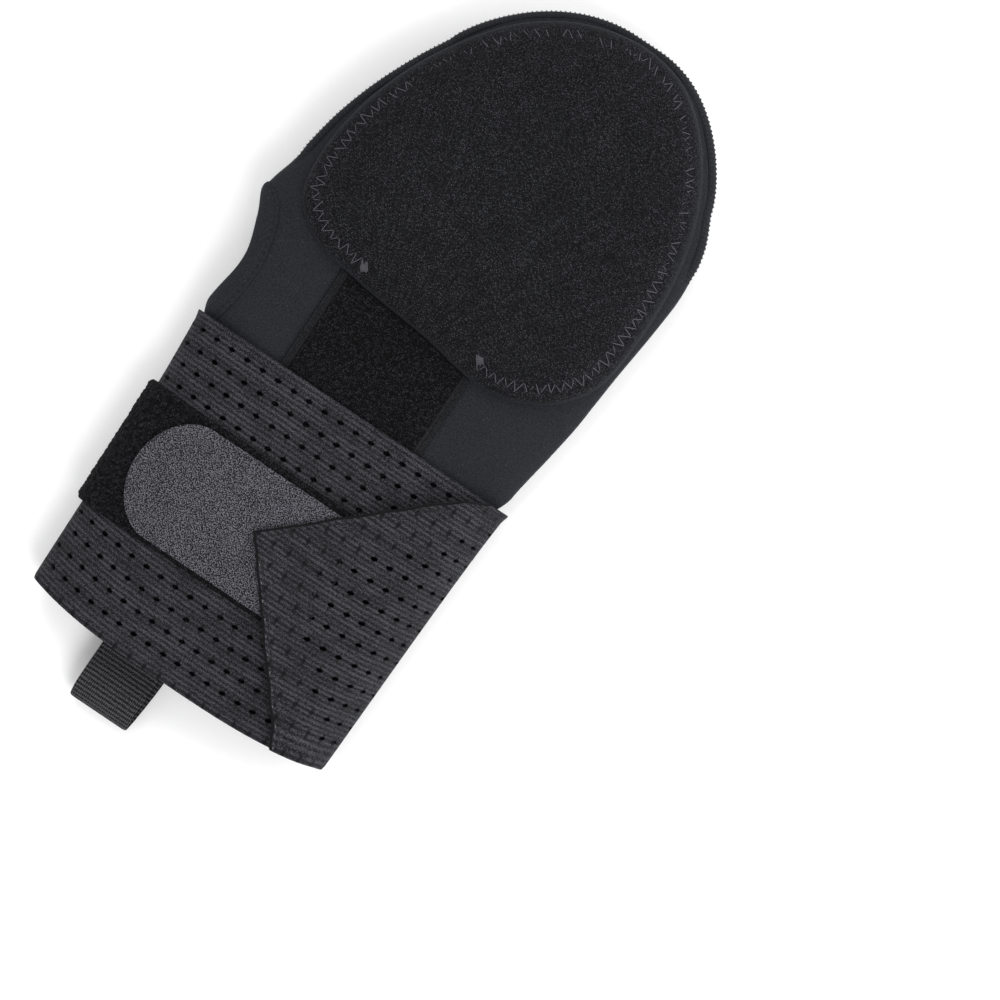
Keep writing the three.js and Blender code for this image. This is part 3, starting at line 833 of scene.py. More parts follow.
def pad_finish():
    """Brushed loop knit, near black with many fine light flecks, smoother round its edge."""
    made = Finish("pad_brushed_knit")
    place = made.solid()
    clouds = made.noise(place, 9, 3)
    tufts = made.noise(place, 1.0, 3)
    loops = made.loops(place, 0.62, 0.35, jitter=1)
    inner = made.marked("inner")
    fleck = made.flecks(place, 0.6, 0.6, 0.42, "2D")
    fleck = made.times(fleck, made.between(clouds, 0.35, 0.6, 0.6, 0.9))
    fleck = made.times(fleck, made.math("MULTIPLY_ADD", inner, 0.85, 0.15))
    shade = made.blend((tufts, 0.5), (loops, 0.75), (clouds, 0.2))
    border = made.shades(shade, 0.35, 1.1, NEOPRENE, 0.6, 1.3)
    colour = made.mix(inner, border, made.shades(shade, 0.35, 1.1, PAD, 0.3, 1.6))
    colour = made.mix(fleck, colour, tone(PAD, 7.6))
    height = made.blend((loops, 0.5), (tufts, 0.5))
    return made.finish(colour, height, 0.4, 0.94, 0.05, (0.5, 0.5, 0.58))


def pile_finish():
    """Loop pile tape of black loops, with a painted highlight in grey on the tops of the loops and of the
    pile's bumps, and painted shade between them.
    """
    made = Finish("loop_pile")
    flat = made.flat()
    tufts = made.noise(flat, 0.6, 2)
    loops = made.loops(flat, 0.66, 0.55)
    # painted highlight: the loops, the pile's height (lift) and its tufts make the tops grey, and painted
    # shade leaves the gaps black
    top = made.blend((loops, 0.8), (made.marked("lift"), 0.5), (tufts, 0.3))
    colour = made.shades(top, 0.65, 1.4, PILE, 0.5, 6.8)
    height = made.blend((loops, 0.6), (tufts, 0.4))
    return made.finish(colour, height, 0.5, 0.95, 0.03, (0.5, 0.5, 0.55))


def elastic_finish():
    """Ribbed elastic: ribs along it, a groove along each row of eyelets with painted shade in it,
    and a knit's grain. Each eyelet's place is painted dark as the hole's shade, also near the
    point's hem, where no hole goes through."""
    made = Finish("ribbed_elastic")
    flat = made.flat()
    u, v = made.split(flat)
    wobble = made.math("MULTIPLY_ADD", made.noise(flat, 9, 1), 0.7, -0.35)
    from_row = made.math("SUBTRACT", made.math("ADD", v, wobble), EYELET_FIRST)
    rib = made.wave(from_row, EYELET_ROW_PITCH / RIBS_PER_ROW, -QUARTER)
    turned = made.times(from_row, TURN / EYELET_ROW_PITCH)
    row_line = made.between(made.math("COSINE", turned), 0.8, 0.99)
    courses = made.wave(u, 0.8)
    loops = made.loops(flat, 0.62, 0.35, (1.15, 1, 1), 1)
    along = made.math("MULTIPLY_ADD", u, TURN / EYELET_PITCH, -TURN * EYELET_START / EYELET_PITCH)
    across = made.times(made.math("SUBTRACT", v, EYELET_FIRST), math.pi / EYELET_ROW_PITCH)
    spots = made.times(made.math("COSINE", along), made.math("COSINE", across))
    patches = made.noise(flat, 5, 2, (3, 1, 1))
    uneven = made.between(patches, 0.35, 0.65, 0.6, 1.0)
    light = made.blend(
        (made.times(rib, uneven), 0.42), (loops, 0.55), (made.grain(flat, 0.36), 0.5),
        (courses, 0.12), (patches, 0.25))
    colour = made.shades(light, 0.45, 1.5, ELASTIC, 0.2, 2.2)
    # painted shade: the groove along each row of eyelets is darkened
    colour = made.mix(made.times(row_line, 0.35), colour, tone(ELASTIC, 0.3))
    # painted shade: each eyelet's place is darkened as the hole's shade, also where no hole is cut
    colour = made.mix(made.between(spots, 0.6, 0.98, 0.0, 0.85), colour, tone(ELASTIC, 0.12))
    height = made.blend((loops, 0.45), (rib, 0.4), (row_line, -0.55))
    return made.finish(colour, height, 0.34, 0.84, 0.06, (0.6, 0.6, 0.65))


def hook_finish():
    """The grainy knit on the face of the grey tab."""
    made = Finish("tab_knit")
    flat = made.flat()
    u, v = made.split(flat)
    slant = made.wave(made.math("MULTIPLY_ADD", v, 0.9, u), 1.15)
    loops = made.loops(flat, 0.56, 0.4, jitter=1)
    clouds = made.noise(flat, 10, 2)
    light = made.blend((made.grain(flat, 0.36), 0.6), (loops, 0.8), (slant, 0.12), (clouds, 0.15))
    colour = made.shades(light, 0.5, 1.25, HOOK_KNIT, 0.08, 2.4)
    return made.finish(colour, light, 0.25, 0.82, 0.06, (0.7, 0.7, 0.75))


def woven_finish():
    """Plain woven cloth of the underside's panel and the hems."""
    made = Finish("woven_cloth")
    place = made.solid()
    u, v = made.split(place)
    weave = made.times(made.wave(u, 0.9), made.wave(v, 0.9))
    light = made.blend(
        (made.noise(place, 0.8, 2), 0.5), (weave, 0.5), (made.noise(place, 14, 2), 0.2),
        (made.loops(place, 0.8, 0.3), 0.5))
    colour = made.shades(light, 0.3, 1.35, BINDING, 0.4, 1.9)
    return made.finish(colour, light, 0.14, 0.85, 0.06, (0.6, 0.6, 0.6))


def webbing_finish():
    """Ribbed webbing: yarns lie along it, bound by the ribs across it."""
    made = Finish("webbing_weave")
    flat = made.flat()
    u, v = made.split(flat)
    yarns = made.wave(u, 0.8)
    rib = made.wave(v, WEBBING_RIB, -QUARTER)
    grain = made.between(made.noise(flat, 0.5, 2), 0.3, 0.7)
    light = made.blend((rib, 0.4), (yarns, 0.3), (grain, 0.45))
    colour = made.shades(light, 0.35, 1.0, WEBBING, 0.12, 2.6)
    return made.finish(colour, light, 0.2, 0.7, 0.08, (0.6, 0.6, 0.65))


def thread_finish(name, colour):
    """Twisted polyester thread. The same finish in near black is the painted shadow along the strap point's
    edges.
    """
    made = Finish(name)
    flat = made.flat()
    u, v = made.split(flat)
    twist = made.wave(made.math("MULTIPLY_ADD", v, 0.7, u), 0.7)
    light = made.blend((made.noise(flat, 0.4, 1), 0.4), (twist, 0.6))
    shade = made.shades(light, 0.1, 0.9, colour, 0.55, 1.35)
    return made.finish(shade, light, 0.1, 0.7, 0.08, (0.7, 0.7, 0.75))


def floor_finish():
    """A plain pale floor with a hint of grain."""
    made = Finish("pale_floor")
    grain = made.noise(made.solid(), 3, 2)
    colour = made.mix(grain, (0.94, 0.94, 0.943), (0.96, 0.96, 0.963))
    return made.finish(colour, grain, 0.02, 0.75)


neoprene = neoprene_finish()
pad_knit = pad_finish()
pile = pile_finish()
elastic = elastic_finish()
hook_knit = hook_finish()
woven = woven_finish()
webbing = webbing_finish()
dark_thread = thread_finish("dark_thread", DARK_THREAD)
light_thread = thread_finish("light_thread", LIGHT_THREAD)
# painted shadow along the strap point's edges, where the flap's edge drops its shadow
point_edge_shadow = thread_finish("point_edge_shadow", POINT_SHADOW_COLOUR)
spot_thread = thread_finish("spot_thread", SPOT_THREAD)


# Threads


def stitch_parts(starts, ends, place, lift, radius, points=7, uneven=0.0):
    """Short stitches between flat places. Each rises out of the cloth and dives back in."""
    share = np.linspace(0, 1, points)
    flat = starts[:, None, :] * (1 - share)[None, :, None] + ends[:, None, :] * share[None, :, None]
    flat = flat.reshape(-1, 2)
    arch = np.sin(math.pi * share) ** 0.6
    lifts = np.broadcast_to(lift, len(starts))
    height = lifts[:, None] + radius * (1.5 * arch - 0.9)[None, :]
    height = (height - rng.uniform(0, 1, height.shape) * uneven).ravel()
    lying = place(flat, height)
    above = place(flat, height + 1)
    shape = (len(starts), points, 3)
    return tube_mesh(lying.reshape(shape), (above - lying).reshape(shape), radius)


def running_stitches(path, place, lift, radius=0.3, length=2.6, space=1.1):
    """Stitches in line along a flat path."""
    dense = resample(path, 0.05)
    count = int((len(dense) - 1) * 0.05 / (length + space))
    first = (np.arange(count) * (length + space) / 0.05).astype(int)
    last = first + int(length / 0.05)
    return stitch_parts(dense[first], dense[np.minimum(last, len(dense) - 1)], place, lift, radius)


def zigzag_stitches(path, place, lift, pitch, height, radius):
    """Zigzag stitches along a flat path, with points on alternate sides of it."""
    corners = resample(path, pitch / 2)
    along = unit(np.gradient(corners, axis=0))
    across = np.stack([-along[:, 1], along[:, 0]], -1)
    side = np.where(np.arange(len(corners)) % 2 == 0, 0.5, -0.5)[:, None]
    corners = corners + across * height * side
    corners = corners + rng.normal(0, 0.4, corners.shape)
    count = len(corners) - 1
    sunk = 0.8 * ZIGZAG_SINK * smoothstep(corners[:-1, 1], PAD_LOW + 45, PAD_LOW + 95)
    lifts = lift + rng.uniform(-ZIGZAG_SINK, 0.06, count) - sunk
    lifts[1::2] -= ZIGZAG_SINK / 3
    return stitch_parts(corners[:-1], corners[1:], place, lifts, radius, uneven=ZIGZAG_SINK / 2)


def bar_tack(middle, run, place, lift, threads=7, radius=0.2):
    """A small block of uneven close stitches that holds the end of a seam."""
    run = unit(np.asarray(run, float))
    across = np.array([-run[1], run[0]])
    places = np.linspace(-0.5, 0.5, threads)[:, None] * TACK_WIDTH * across
    lengths = TACK_LENGTH / 2 + rng.normal(0, 0.4, (threads, 2, 1))
    starts = middle + places - lengths[:, 0] * run
    ends = middle + places + lengths[:, 1] * run + 0.35 * across
    return stitch_parts(starts, ends, place, lift + rng.uniform(-0.12, 0.08, threads), radius)


# Sub-parts


def catmull_rom(points, count, closed=False):
    """A smooth curve through points with even spacing, like the CAD part's curves."""
    points = np.asarray(points, float)
    if closed:
        ring = np.concatenate([points[-1:], points, points[:2]])
    else:
        ring = np.concatenate([2 * points[:1] - points[1:2], points, 2 * points[-1:] - points[-2:-1]])
    share = np.linspace(0, 1, 60, endpoint=False)[:, None]
    line = []
    for span in range(len(ring) - 3):
        p0, p1, p2, p3 = ring[span:span + 4]
        d0, d1, d2 = (
            max(np.linalg.norm(b - a) ** 0.5, 1e-4) for a, b in ((p0, p1), (p1, p2), (p2, p3)))
        slope1 = ((p1 - p0) / d0 - (p2 - p0) / (d0 + d1) + (p2 - p1) / d1) * d1
        slope2 = ((p2 - p1) / d1 - (p3 - p1) / (d1 + d2) + (p3 - p2) / d2) * d1
        line.append(
            p1 + slope1 * share
            + (-3 * p1 + 3 * p2 - 2 * slope1 - slope2) * share ** 2
            + (2 * p1 - 2 * p2 + slope1 + slope2) * share ** 3
        )
    return divide(np.concatenate(line + [points[:1] if closed else points[-1:]]), count)


def cut_by(piece, cutter):
    """Cuts one object's mesh with another, which is then gone."""
    cut = piece.modifiers.new("cut", "BOOLEAN")
    cut.object = cutter
    cut.solver = "EXACT"
    graph = bpy.context.evaluated_depsgraph_get()
    made = bpy.data.meshes.new_from_object(piece.evaluated_get(graph))
    piece.modifiers.clear()
    piece.data = made
    bpy.data.objects.remove(cutter)


def make_body():
    """The hollow neoprene body, with the thumb hole cut through its edge."""
    per_quarter = 34
    tip_share = np.linspace(0, 1, 27)[1:]
    rows = np.concatenate([
        np.linspace(0, CUFF_BAND, 5),
        [CUFF_BAND + 0.8],
        np.arange(CUFF_BAND + 2.2, ROUND_START - 1, 2.2),
        ROUND_START + ROUNDED_TIP * (1 - (1 - tip_share) ** 2),
    ])
    outer = []
    for y in rows:
        ring = even_ring(y, section_at(y), -CUFF_PRESS if y <= CUFF_BAND else 0, per_quarter)
        soft = 0.22 * ripple(ring[:, 0] + 3 * ring[:, 2], ring[:, 1], 34, 3) - 0.22
        ring[:, 2] += soft * np.sign(ring[:, 2] - section_at(y).middle) * (y > CUFF_BAND)
        outer.append(ring)
    inner_rows = np.concatenate([np.arange(0, BODY_LENGTH - TIP_WALL - 6, 5), [BODY_LENGTH - TIP_WALL]])
    inner = [even_ring(y, hollow_at(y), 0, per_quarter) for y in inner_rows]
    rings = inner[::-1] + outer
    points = bow_mouth(np.concatenate(rings))
    body = solid_object("body_shell", points, tube_faces(len(rings), 4 * per_quarter), neoprene)
    cut_thumb_hole(body)
    return body


def hole_ellipse(growth, angles):
    """Y and Z of the thumb hole's edge, grown by an amount."""
    middle = float(section_at(HOLE_ABOVE_MOUTH).middle)
    rise = float(section_at(HOLE_ABOVE_MOUTH + 5).middle - section_at(HOLE_ABOVE_MOUTH - 5).middle) / 10
    y = HOLE_ABOVE_MOUTH + (HOLE_LENGTH / 2 + growth) * np.cos(angles)
    z = middle + (y - HOLE_ABOVE_MOUTH) * rise + (HOLE_HEIGHT / 2 + growth) * np.sin(angles)
    return y, z


def cut_thumb_hole(body):
    steps = 96
    y, z = hole_ellipse(GAP + HEM_THICKNESS, np.arange(steps) * TURN / steps)
    section = section_at(HOLE_ABOVE_MOUTH)
    edge = float(section.centre - section.half_width)
    ends = [np.stack([np.full(steps, x), y, z], -1) for x in (edge - 20, edge + 4 * FOLDED_EDGE)]
    cut_by(body, solid_object("thumb_hole_cutter", np.concatenate(ends), tube_faces(2, steps), neoprene))
    body.data.polygons.foreach_set("use_smooth", [True] * len(body.data.polygons))
    body.data.set_sharp_from_angle(angle=math.radians(50))


# Where the hem's edge runs on the mitt: heights above the mouth, and X
HEM_EDGE = np.array([
    (113, -63.4),
    (119.6, -62.2),
    (122.3, -61.4),
    (127.8, -60.2),
    (135.5, -59.1),
    (144.4, -58.7),
    (153.1, -60.2),
    (160.9, -62.4),
    (167, -66),
    (170.5, -70),
    (173, -75),
])


def hem_side():
    """The flat side of the body round the thumb hole, wound as a band."""
    width = HEM_BAND_HIGH - HEM_BAND_LOW
    return Winding(
        width,
        lambda share, angle: HEM_BAND_HIGH - share * width + 0 * angle,
        lambda angle: 0 * angle,
        lambda share: HEM_ARC,
        rows=71, step=0.25,
    )


def hem_flat(side, ys, angles):
    """Flat places on the hem's side from their Y and their angle on the section."""
    edge, high = side.stops[1:3]
    us = []
    for y, angle in zip(ys, angles):
        around = angles_between(HEM_ARC[0], HEM_ARC[2], y)
        run = lengths_along(point_on(section_at(y), y, around, 0))
        at_edge, at = np.interp([HEM_ARC[1], angle], around, run)
        if angle < HEM_ARC[1]:
            us.append(edge + (at - at_edge) * edge / at_edge)
        else:
            us.append(edge + (at - at_edge) * (high - edge) / (run[-1] - at_edge))
    return np.stack([us, HEM_BAND_HIGH - ys], -1)


def make_thumb_hem():
    """The hem round the thumb hole: it lies on the body and turns in through the hole."""
    side = hem_side()
    steps = 180
    around = np.arange(steps) * TURN / steps
    rim_y, rim_z = hole_ellipse(0, around)
    section = section_at(rim_y)
    rim_up = np.clip((rim_z - section.middle) / section.half_height, -1, 1)
    rim = hem_flat(side, rim_y, math.pi - np.arcsin(rim_up))
    edge_y = HEM_MIDDLE + HEM_REACH * np.cos(around)
    edge = hem_flat(side, edge_y, angle_at(edge_y, np.interp(edge_y, HEM_EDGE[:, 0], HEM_EDGE[:, 1])))
    reach = side.stops[1] - edge[:, 0]
    corner = np.clip(np.abs(np.sin(around)) / 0.3, 0, 1) ** 0.5
    edge[:, 0] = side.stops[1] - np.sign(np.sin(around)) * reach * corner

    rings = []
    for share in (0, 0.02, 0.06, 0.12, 0.16, 0.2, 0.26, 0.36, 0.5, 0.64, 0.78, 0.9, 0.97):
        under = lerp(0.02, GAP, smoothstep(share, 0, 0.3))
        thick = lerp(0.06, HEM_THICKNESS - 0.3, smoothstep(share, 0, 0.5))
        channel = 0.12 * math.exp(-((share - HEM_STITCH_SHARE) / 0.04) ** 2)
        rings.append(side.place(lerp(edge, rim, share), under + thick - channel))
    lip_x = side.place(rim, GAP + HEM_THICKNESS - 0.2)[:, 0]
    inside = FOLDED_EDGE + HEM_THICKNESS + 0.5
    turned_in = (
        (0.3, 0.25), (0.9, 0.05), (2, 0), (inside, 0), (inside + 0.4, 0.45), (inside, 0.85), (2, 0.9))
    for depth, growth in turned_in:
        y, z = hole_ellipse(growth, around)
        rings.append(np.stack([lip_x + depth, y, z], -1))
    for share in (0.97, 0.8, 0.6, 0.4, 0.2, 0.02):
        rings.append(side.place(lerp(edge, rim, share), lerp(0.02, GAP, smoothstep(share, 0, 0.3))))
    faces = grid_faces(len(rings), steps, closed=True, looped=True)
    hem = solid_object("thumb_hem_band", np.concatenate(rings), faces, neoprene, sharp=70)
    line = lerp(edge, rim, HEM_STITCH_SHARE)
    line = np.concatenate([line, line[:1]])
    stitches = running_stitches(line, side.place, 0.36, radius=0.2, length=1.9, space=0.9)
    return hem, thread_object("thumb_hem_stitches", [stitches], dark_thread)


def pad_outline():
    places = np.stack([
        PAD_CENTRE_X + PAD_OUTLINE[:, 0] * PAD_WIDTH / 2,
        PAD_LOW + PAD_OUTLINE[:, 1] * PAD_LENGTH,
    ], -1)
    return catmull_rom(places, 360, closed=True)[:-1]


PAD_EDGE = pad_outline()
PAD_RUN = lengths_along(PAD_EDGE)
PAD_MIDDLE = np.array([PAD_CENTRE_X, PAD_LOW + PAD_LENGTH / 2])


def pad_depth(x, y):
    """How far places lie inside the pad's outline, and how far round it they are."""
    place = np.stack([x, y], -1)
    ends = np.roll(PAD_EDGE, -1, axis=0)
    span = ends - PAD_EDGE
    best = np.full(len(place), 1e9)
    round_at = np.zeros(len(place))
    for start, step, run in zip(PAD_EDGE, span, PAD_RUN):
        share = np.clip(((place - start) @ step) / (step @ step), 0, 1)
        away = np.linalg.norm(place - start - share[:, None] * step, axis=1)
        nearer = away < best
        best = np.where(nearer, away, best)
        round_at = np.where(nearer, run + share * np.linalg.norm(step), round_at)
    return best, round_at


def pad_height(x, y):
    """How thick the pad is over places, with the rolled edge and the stitched groove."""
    depth, run = pad_depth(x, y)
    swell = np.sqrt(1 - (1 - np.clip(depth / PAD_SHOULDER, 0, 1)) ** 2)
    height = PAD_BORDER + (PAD_THICKNESS - PAD_BORDER) * swell
    roll = np.sqrt(np.clip(1 - (1 - np.clip(depth / 1.6, 0, 1)) ** 2, 0, 1))
    height = height * lerp(0.08, 1, roll)
    groove = np.exp(-((depth - STITCH_INSET) / 1.7) ** 2)
    towards_tip = smoothstep(y, PAD_LOW + 60, PAD_LOW + 105)
    pucker = 0.5 + 0.5 * np.cos(TURN * run / ZIGZAG_PITCH)
    height = height - groove * (0.5 + 0.2 * pucker) * lerp(1, 0.4, towards_tip)
    soft = ripple(x, y, 46, 11)
    return height + 0.18 * soft * smoothstep(depth, 8, 20)


def pad_place(side):
    """A function that gives where flat places (x, y) lie on a pad, at a height over it."""
    def place(flat, height):
        x, y = flat[:, 0], flat[:, 1]
        gap = GAP * smoothstep(pad_depth(x, y)[0], 0, 1.6)
        rise = half_thickness(x, y) + gap + pad_height(x, y) + np.reshape(height, -1)
        z = section_at(y).middle + side * rise
        return np.stack([x, y, np.maximum(z, 0.02)], -1)
    return place


def make_pad(side, name):
    """A foam pad with its knit cover, on the upper side (1) or the lower side (-1)."""
    insets = np.concatenate([np.arange(0, 9, 0.45), np.arange(9, 22, 1.1), np.linspace(23, 65, 16)])
    flats = np.concatenate([lerp(PAD_MIDDLE, PAD_EDGE, 1 - inset / (PAD_WIDTH / 2)) for inset in insets])
    inner_shares = np.array([0.06, 0.4, 0.7, 0.88, 0.95, 0.985, 1])
    x, y = np.concatenate([lerp(PAD_MIDDLE, PAD_EDGE, share) for share in inner_shares]).T
    gap = np.repeat(GAP * (inner_shares < 1), len(PAD_EDGE))
    inner = np.stack([x, y, section_at(y).middle + side * (half_thickness(x, y) + gap)], -1)
    points = np.concatenate([inner, pad_place(side)(flats, 0)])
    faces = tube_faces(len(inner_shares) + len(insets), len(PAD_EDGE))
    pad = solid_object(name, points, faces, pad_knit, sharp=75)
    border = lerp(1.2, 4.5, smoothstep(flats[:, 1], PAD_LOW + 25, PAD_LOW + 60))
    mark(pad, "inner", np.concatenate([0 * x, smoothstep(pad_depth(*flats.T)[0], 0.3, border)]))
    return pad


def pad_stitch_path():
    """The flat line of the zigzag, round the pad's tip from one bar tack to the other."""
    along = unit(np.roll(PAD_EDGE, -1, axis=0) - np.roll(PAD_EDGE, 1, axis=0))
    inward = np.stack([-along[:, 1], along[:, 0]], -1)
    inward *= np.sign(((PAD_MIDDLE - PAD_EDGE) * inward).sum(1))[:, None]
    line = PAD_EDGE + STITCH_INSET * inward
    left, right = (int(np.argmin(np.linalg.norm(line - tack, axis=1))) for tack in TACKS)
    return np.roll(line, -left, axis=0)[:(right - left) % len(line) + 1]


def make_pad_stitches(side, name):
    place = pad_place(side)
    parts = [zigzag_stitches(pad_stitch_path(), place, 0.16, ZIGZAG_PITCH, ZIGZAG_HEIGHT, 0.17)]
    parts += [bar_tack(np.array(tack), (-0.5, 0.86), place, 0.1) for tack in TACKS]
    return thread_object(name, parts, light_thread)


def on_body(side):
    """A function that gives where flat places (x, y) lie on one side of the body."""
    def place(flat, height):
        x, y = flat[:, 0], flat[:, 1]
        return point_on(section_at(y), y, side * angle_at(y, x), np.reshape(height, -1))
    return place


def pad_low_edge(x):
    """The Y of the pad's lower edge at an X."""
    low = PAD_EDGE[PAD_EDGE[:, 1] < PAD_LOW + PAD_LENGTH / 4]
    low = low[np.argsort(low[:, 0])]
    return np.interp(x, low[:, 0], low[:, 1])


def strip_flat(left, right, above_mouth, step):
    xs = np.linspace(left, right, int((right - left) / step) + 1)
    rows = int((PAD_LOW - above_mouth) / step) + 1
    shares = np.linspace(0, 1, rows)
    tops = pad_low_edge(xs) - 2 * GAP
    y = above_mouth + shares[:, None] * (tops - above_mouth)[None, :]
    x = np.broadcast_to(xs, y.shape)
    return np.stack([x.ravel(), y.ravel()], -1), grid_faces(rows, len(xs))


def paint(piece, material, chosen):
    """Gives another material to the faces whose middle in the flat is chosen."""
    piece.data.materials.append(material)
    layer = piece.data.uv_layers["flat"].uv
    values = np.empty(len(piece.data.loops) * 2, np.float32)
    layer.foreach_get("vector", values)
    values = values.reshape(-1, 2)
    for polygon in piece.data.polygons:
        middle = values[polygon.loop_indices].mean(0)
        if chosen(*middle):
            polygon.material_index = 1


def sew_sides(lines, bottom, place, lift, **stitch):
    """Stitches up a strip from a Y, along lines that are each an X and a distance that the
    line ends below the pad's lower edge."""
    return [
        running_stitches(np.array([(x, bottom), (x, float(pad_low_edge(x)) - below)]), place, lift, **stitch)
        for x, below in lines
    ]


def make_upper_strip():
    """The black pile strip, with flat woven edges."""
    flat, faces = strip_flat(STRIP_LEFT, STRIP_RIGHT, STRIP_ABOVE_MOUTH, 0.62)
    x, y = flat.T
    raised = smoothstep(np.minimum(x - STRIP_LEFT, STRIP_RIGHT - x), SELVAGE - 0.5, SELVAGE + 0.6)
    lift = raised * bumpy(x, y, 1.3, 21)
    height = UNDERLAY_THICKNESS - 1.0 * (1 - raised) + 0.6 * lift - PILE_RISE * raised
    place = on_body(1)
    top = place(flat, GAP + height)
    strip = sheet_mesh("upper_pile_strip", flat, faces, top, place(flat, GAP), pile, lift)
    paint(strip, woven, lambda u, v: min(u - STRIP_LEFT, STRIP_RIGHT - u) < SELVAGE)
    lines = [(STRIP_LEFT + SELVAGE / 2, 1.5), (STRIP_RIGHT - SELVAGE / 2, 1.5)]
    stitches = sew_sides(
        lines, STRIP_ABOVE_MOUTH + 2, place, GAP + 0.55, radius=0.16, length=2.2, space=0.9)
    return strip, thread_object("upper_strip_stitches", stitches, dark_thread)


def make_anchor_panel():
    """The flat cloth panel on the underside that the strap is sewn to."""
    flat, faces = strip_flat(PANEL_LEFT, PANEL_RIGHT, PANEL_ABOVE_MOUTH, 1.6)
    x, y = flat.T
    edge = 0.55 + 0.45 * smoothstep(np.minimum(x - PANEL_LEFT, PANEL_RIGHT - x), 0, 2.5)
    height = UNDERLAY_THICKNESS * edge + 0.12 * ripple(x, y, 30, 5) - 0.1
    place = on_body(-1)
    top = place(flat, GAP + height)
    panel = sheet_mesh("underside_panel", flat, faces, top, place(flat, GAP), woven)
    lines = [(PANEL_LEFT + 2, 2), (PANEL_LEFT + 4.4, 2), (PANEL_RIGHT - 2, 2)]
    stitches = sew_sides(
        lines, PANEL_ABOVE_MOUTH + 2, place, GAP + 1.35, radius=0.2, length=2.4, space=0.9)
    return panel, thread_object("underside_panel_stitches", stitches, dark_thread)


def strap_flat(length, hem_sides):
    """The strap as cut: a grid with a hole at every eyelet, and its pointed end.
    hem_sides are the point's two edges, each a place on it and the direction out of it."""
    half = EYELET_WIDTH / 2
    tall = EYELET_HEIGHT / 2
    middle = EYELET_PITCH / 2
    offsets = np.array([-half, 0, half, middle - half, middle, middle + half])
    pitches = int((length - EYELET_START) / EYELET_PITCH) + 1
    starts = EYELET_START + np.arange(pitches)[:, None] * EYELET_PITCH
    us = np.concatenate([[0, 1.8], (starts + offsets).ravel()])
    centres = EYELET_FIRST + np.arange(EYELET_ROWS) * EYELET_ROW_PITCH
    vs = [np.linspace(0, EYELET_FIRST - tall, 6)[:-1]]
    for centre in centres[:-1]:
        vs += [[centre - tall], centre + np.linspace(tall, EYELET_ROW_PITCH - tall, 7)[:-1]]
    vs += [[centres[-1] - tall], np.linspace(centres[-1] + tall, STRAP_WIDTH, 6)]
    vs = np.concatenate(vs)
    flat, faces = flat_grid(us, vs)
    columns = len(us)
    removed = set()
    for row, centre in enumerate(centres):
        line = int(np.argmin(np.abs(vs - (centre - tall))))
        for pitch in range(pitches):
            column = 2 + 6 * pitch + (3 if row % 2 else 0)
            if column + 2 >= columns:
                continue
            spot = np.array([us[column + 1], centre])
            near_edge = any((spot - place) @ out > -BLIND_BORDER for place, out in hem_sides)
            if spot[0] < SEWN_END or near_edge:
                continue
            removed.update({line * (columns - 1) + column, line * (columns - 1) + column + 1})
            tilt = rng.uniform(-0.02, 0.24)
            shift = rng.uniform(-0.15, 0.15)
            waist = rng.uniform(0.12, 0.34)
            for step, lean in ((0, -tilt), (1, 0), (2, tilt)):
                pinch = -0.1 if step == 1 else waist
                flat[line * columns + column + step] += (shift, lean + pinch)
                flat[(line + 1) * columns + column + step] += (shift, lean - pinch)
    kept = [face for index, face in enumerate(faces) if index not in removed]
    return cut_flat(flat, kept, hem_sides)


def cut_flat(flat, faces, sides):
    """Cuts a flat mesh along lines and adds edges for the hem and its strip of painted shadow inside each of
    them.
    """
    form = bmesh.new()
    corners = [form.verts.new((u, v, 0)) for u, v in flat]
    for face in faces:
        form.faces.new([corners[i] for i in face])
    for place, out in sides:
        for inset in (0, POINT_SHADOW_WIDTH, HEM_FOLD, HEM_FOLD_END):
            spot = Vector((*(place - inset * out), 0))
            everything = form.verts[:] + form.edges[:] + form.faces[:]
            bmesh.ops.bisect_plane(
                form, geom=everything, dist=0.02, plane_co=spot,
                plane_no=Vector((*out, 0)), clear_outer=inset == 0)
    loose = [corner for corner in form.verts if not corner.link_faces]
    bmesh.ops.delete(form, geom=loose, context="VERTS")
    form.verts.index_update()
    flat = np.array([corner.co[:2] for corner in form.verts])
    faces = [[corner.index for corner in face.verts] for face in form.faces]
    form.free()
    return flat, faces


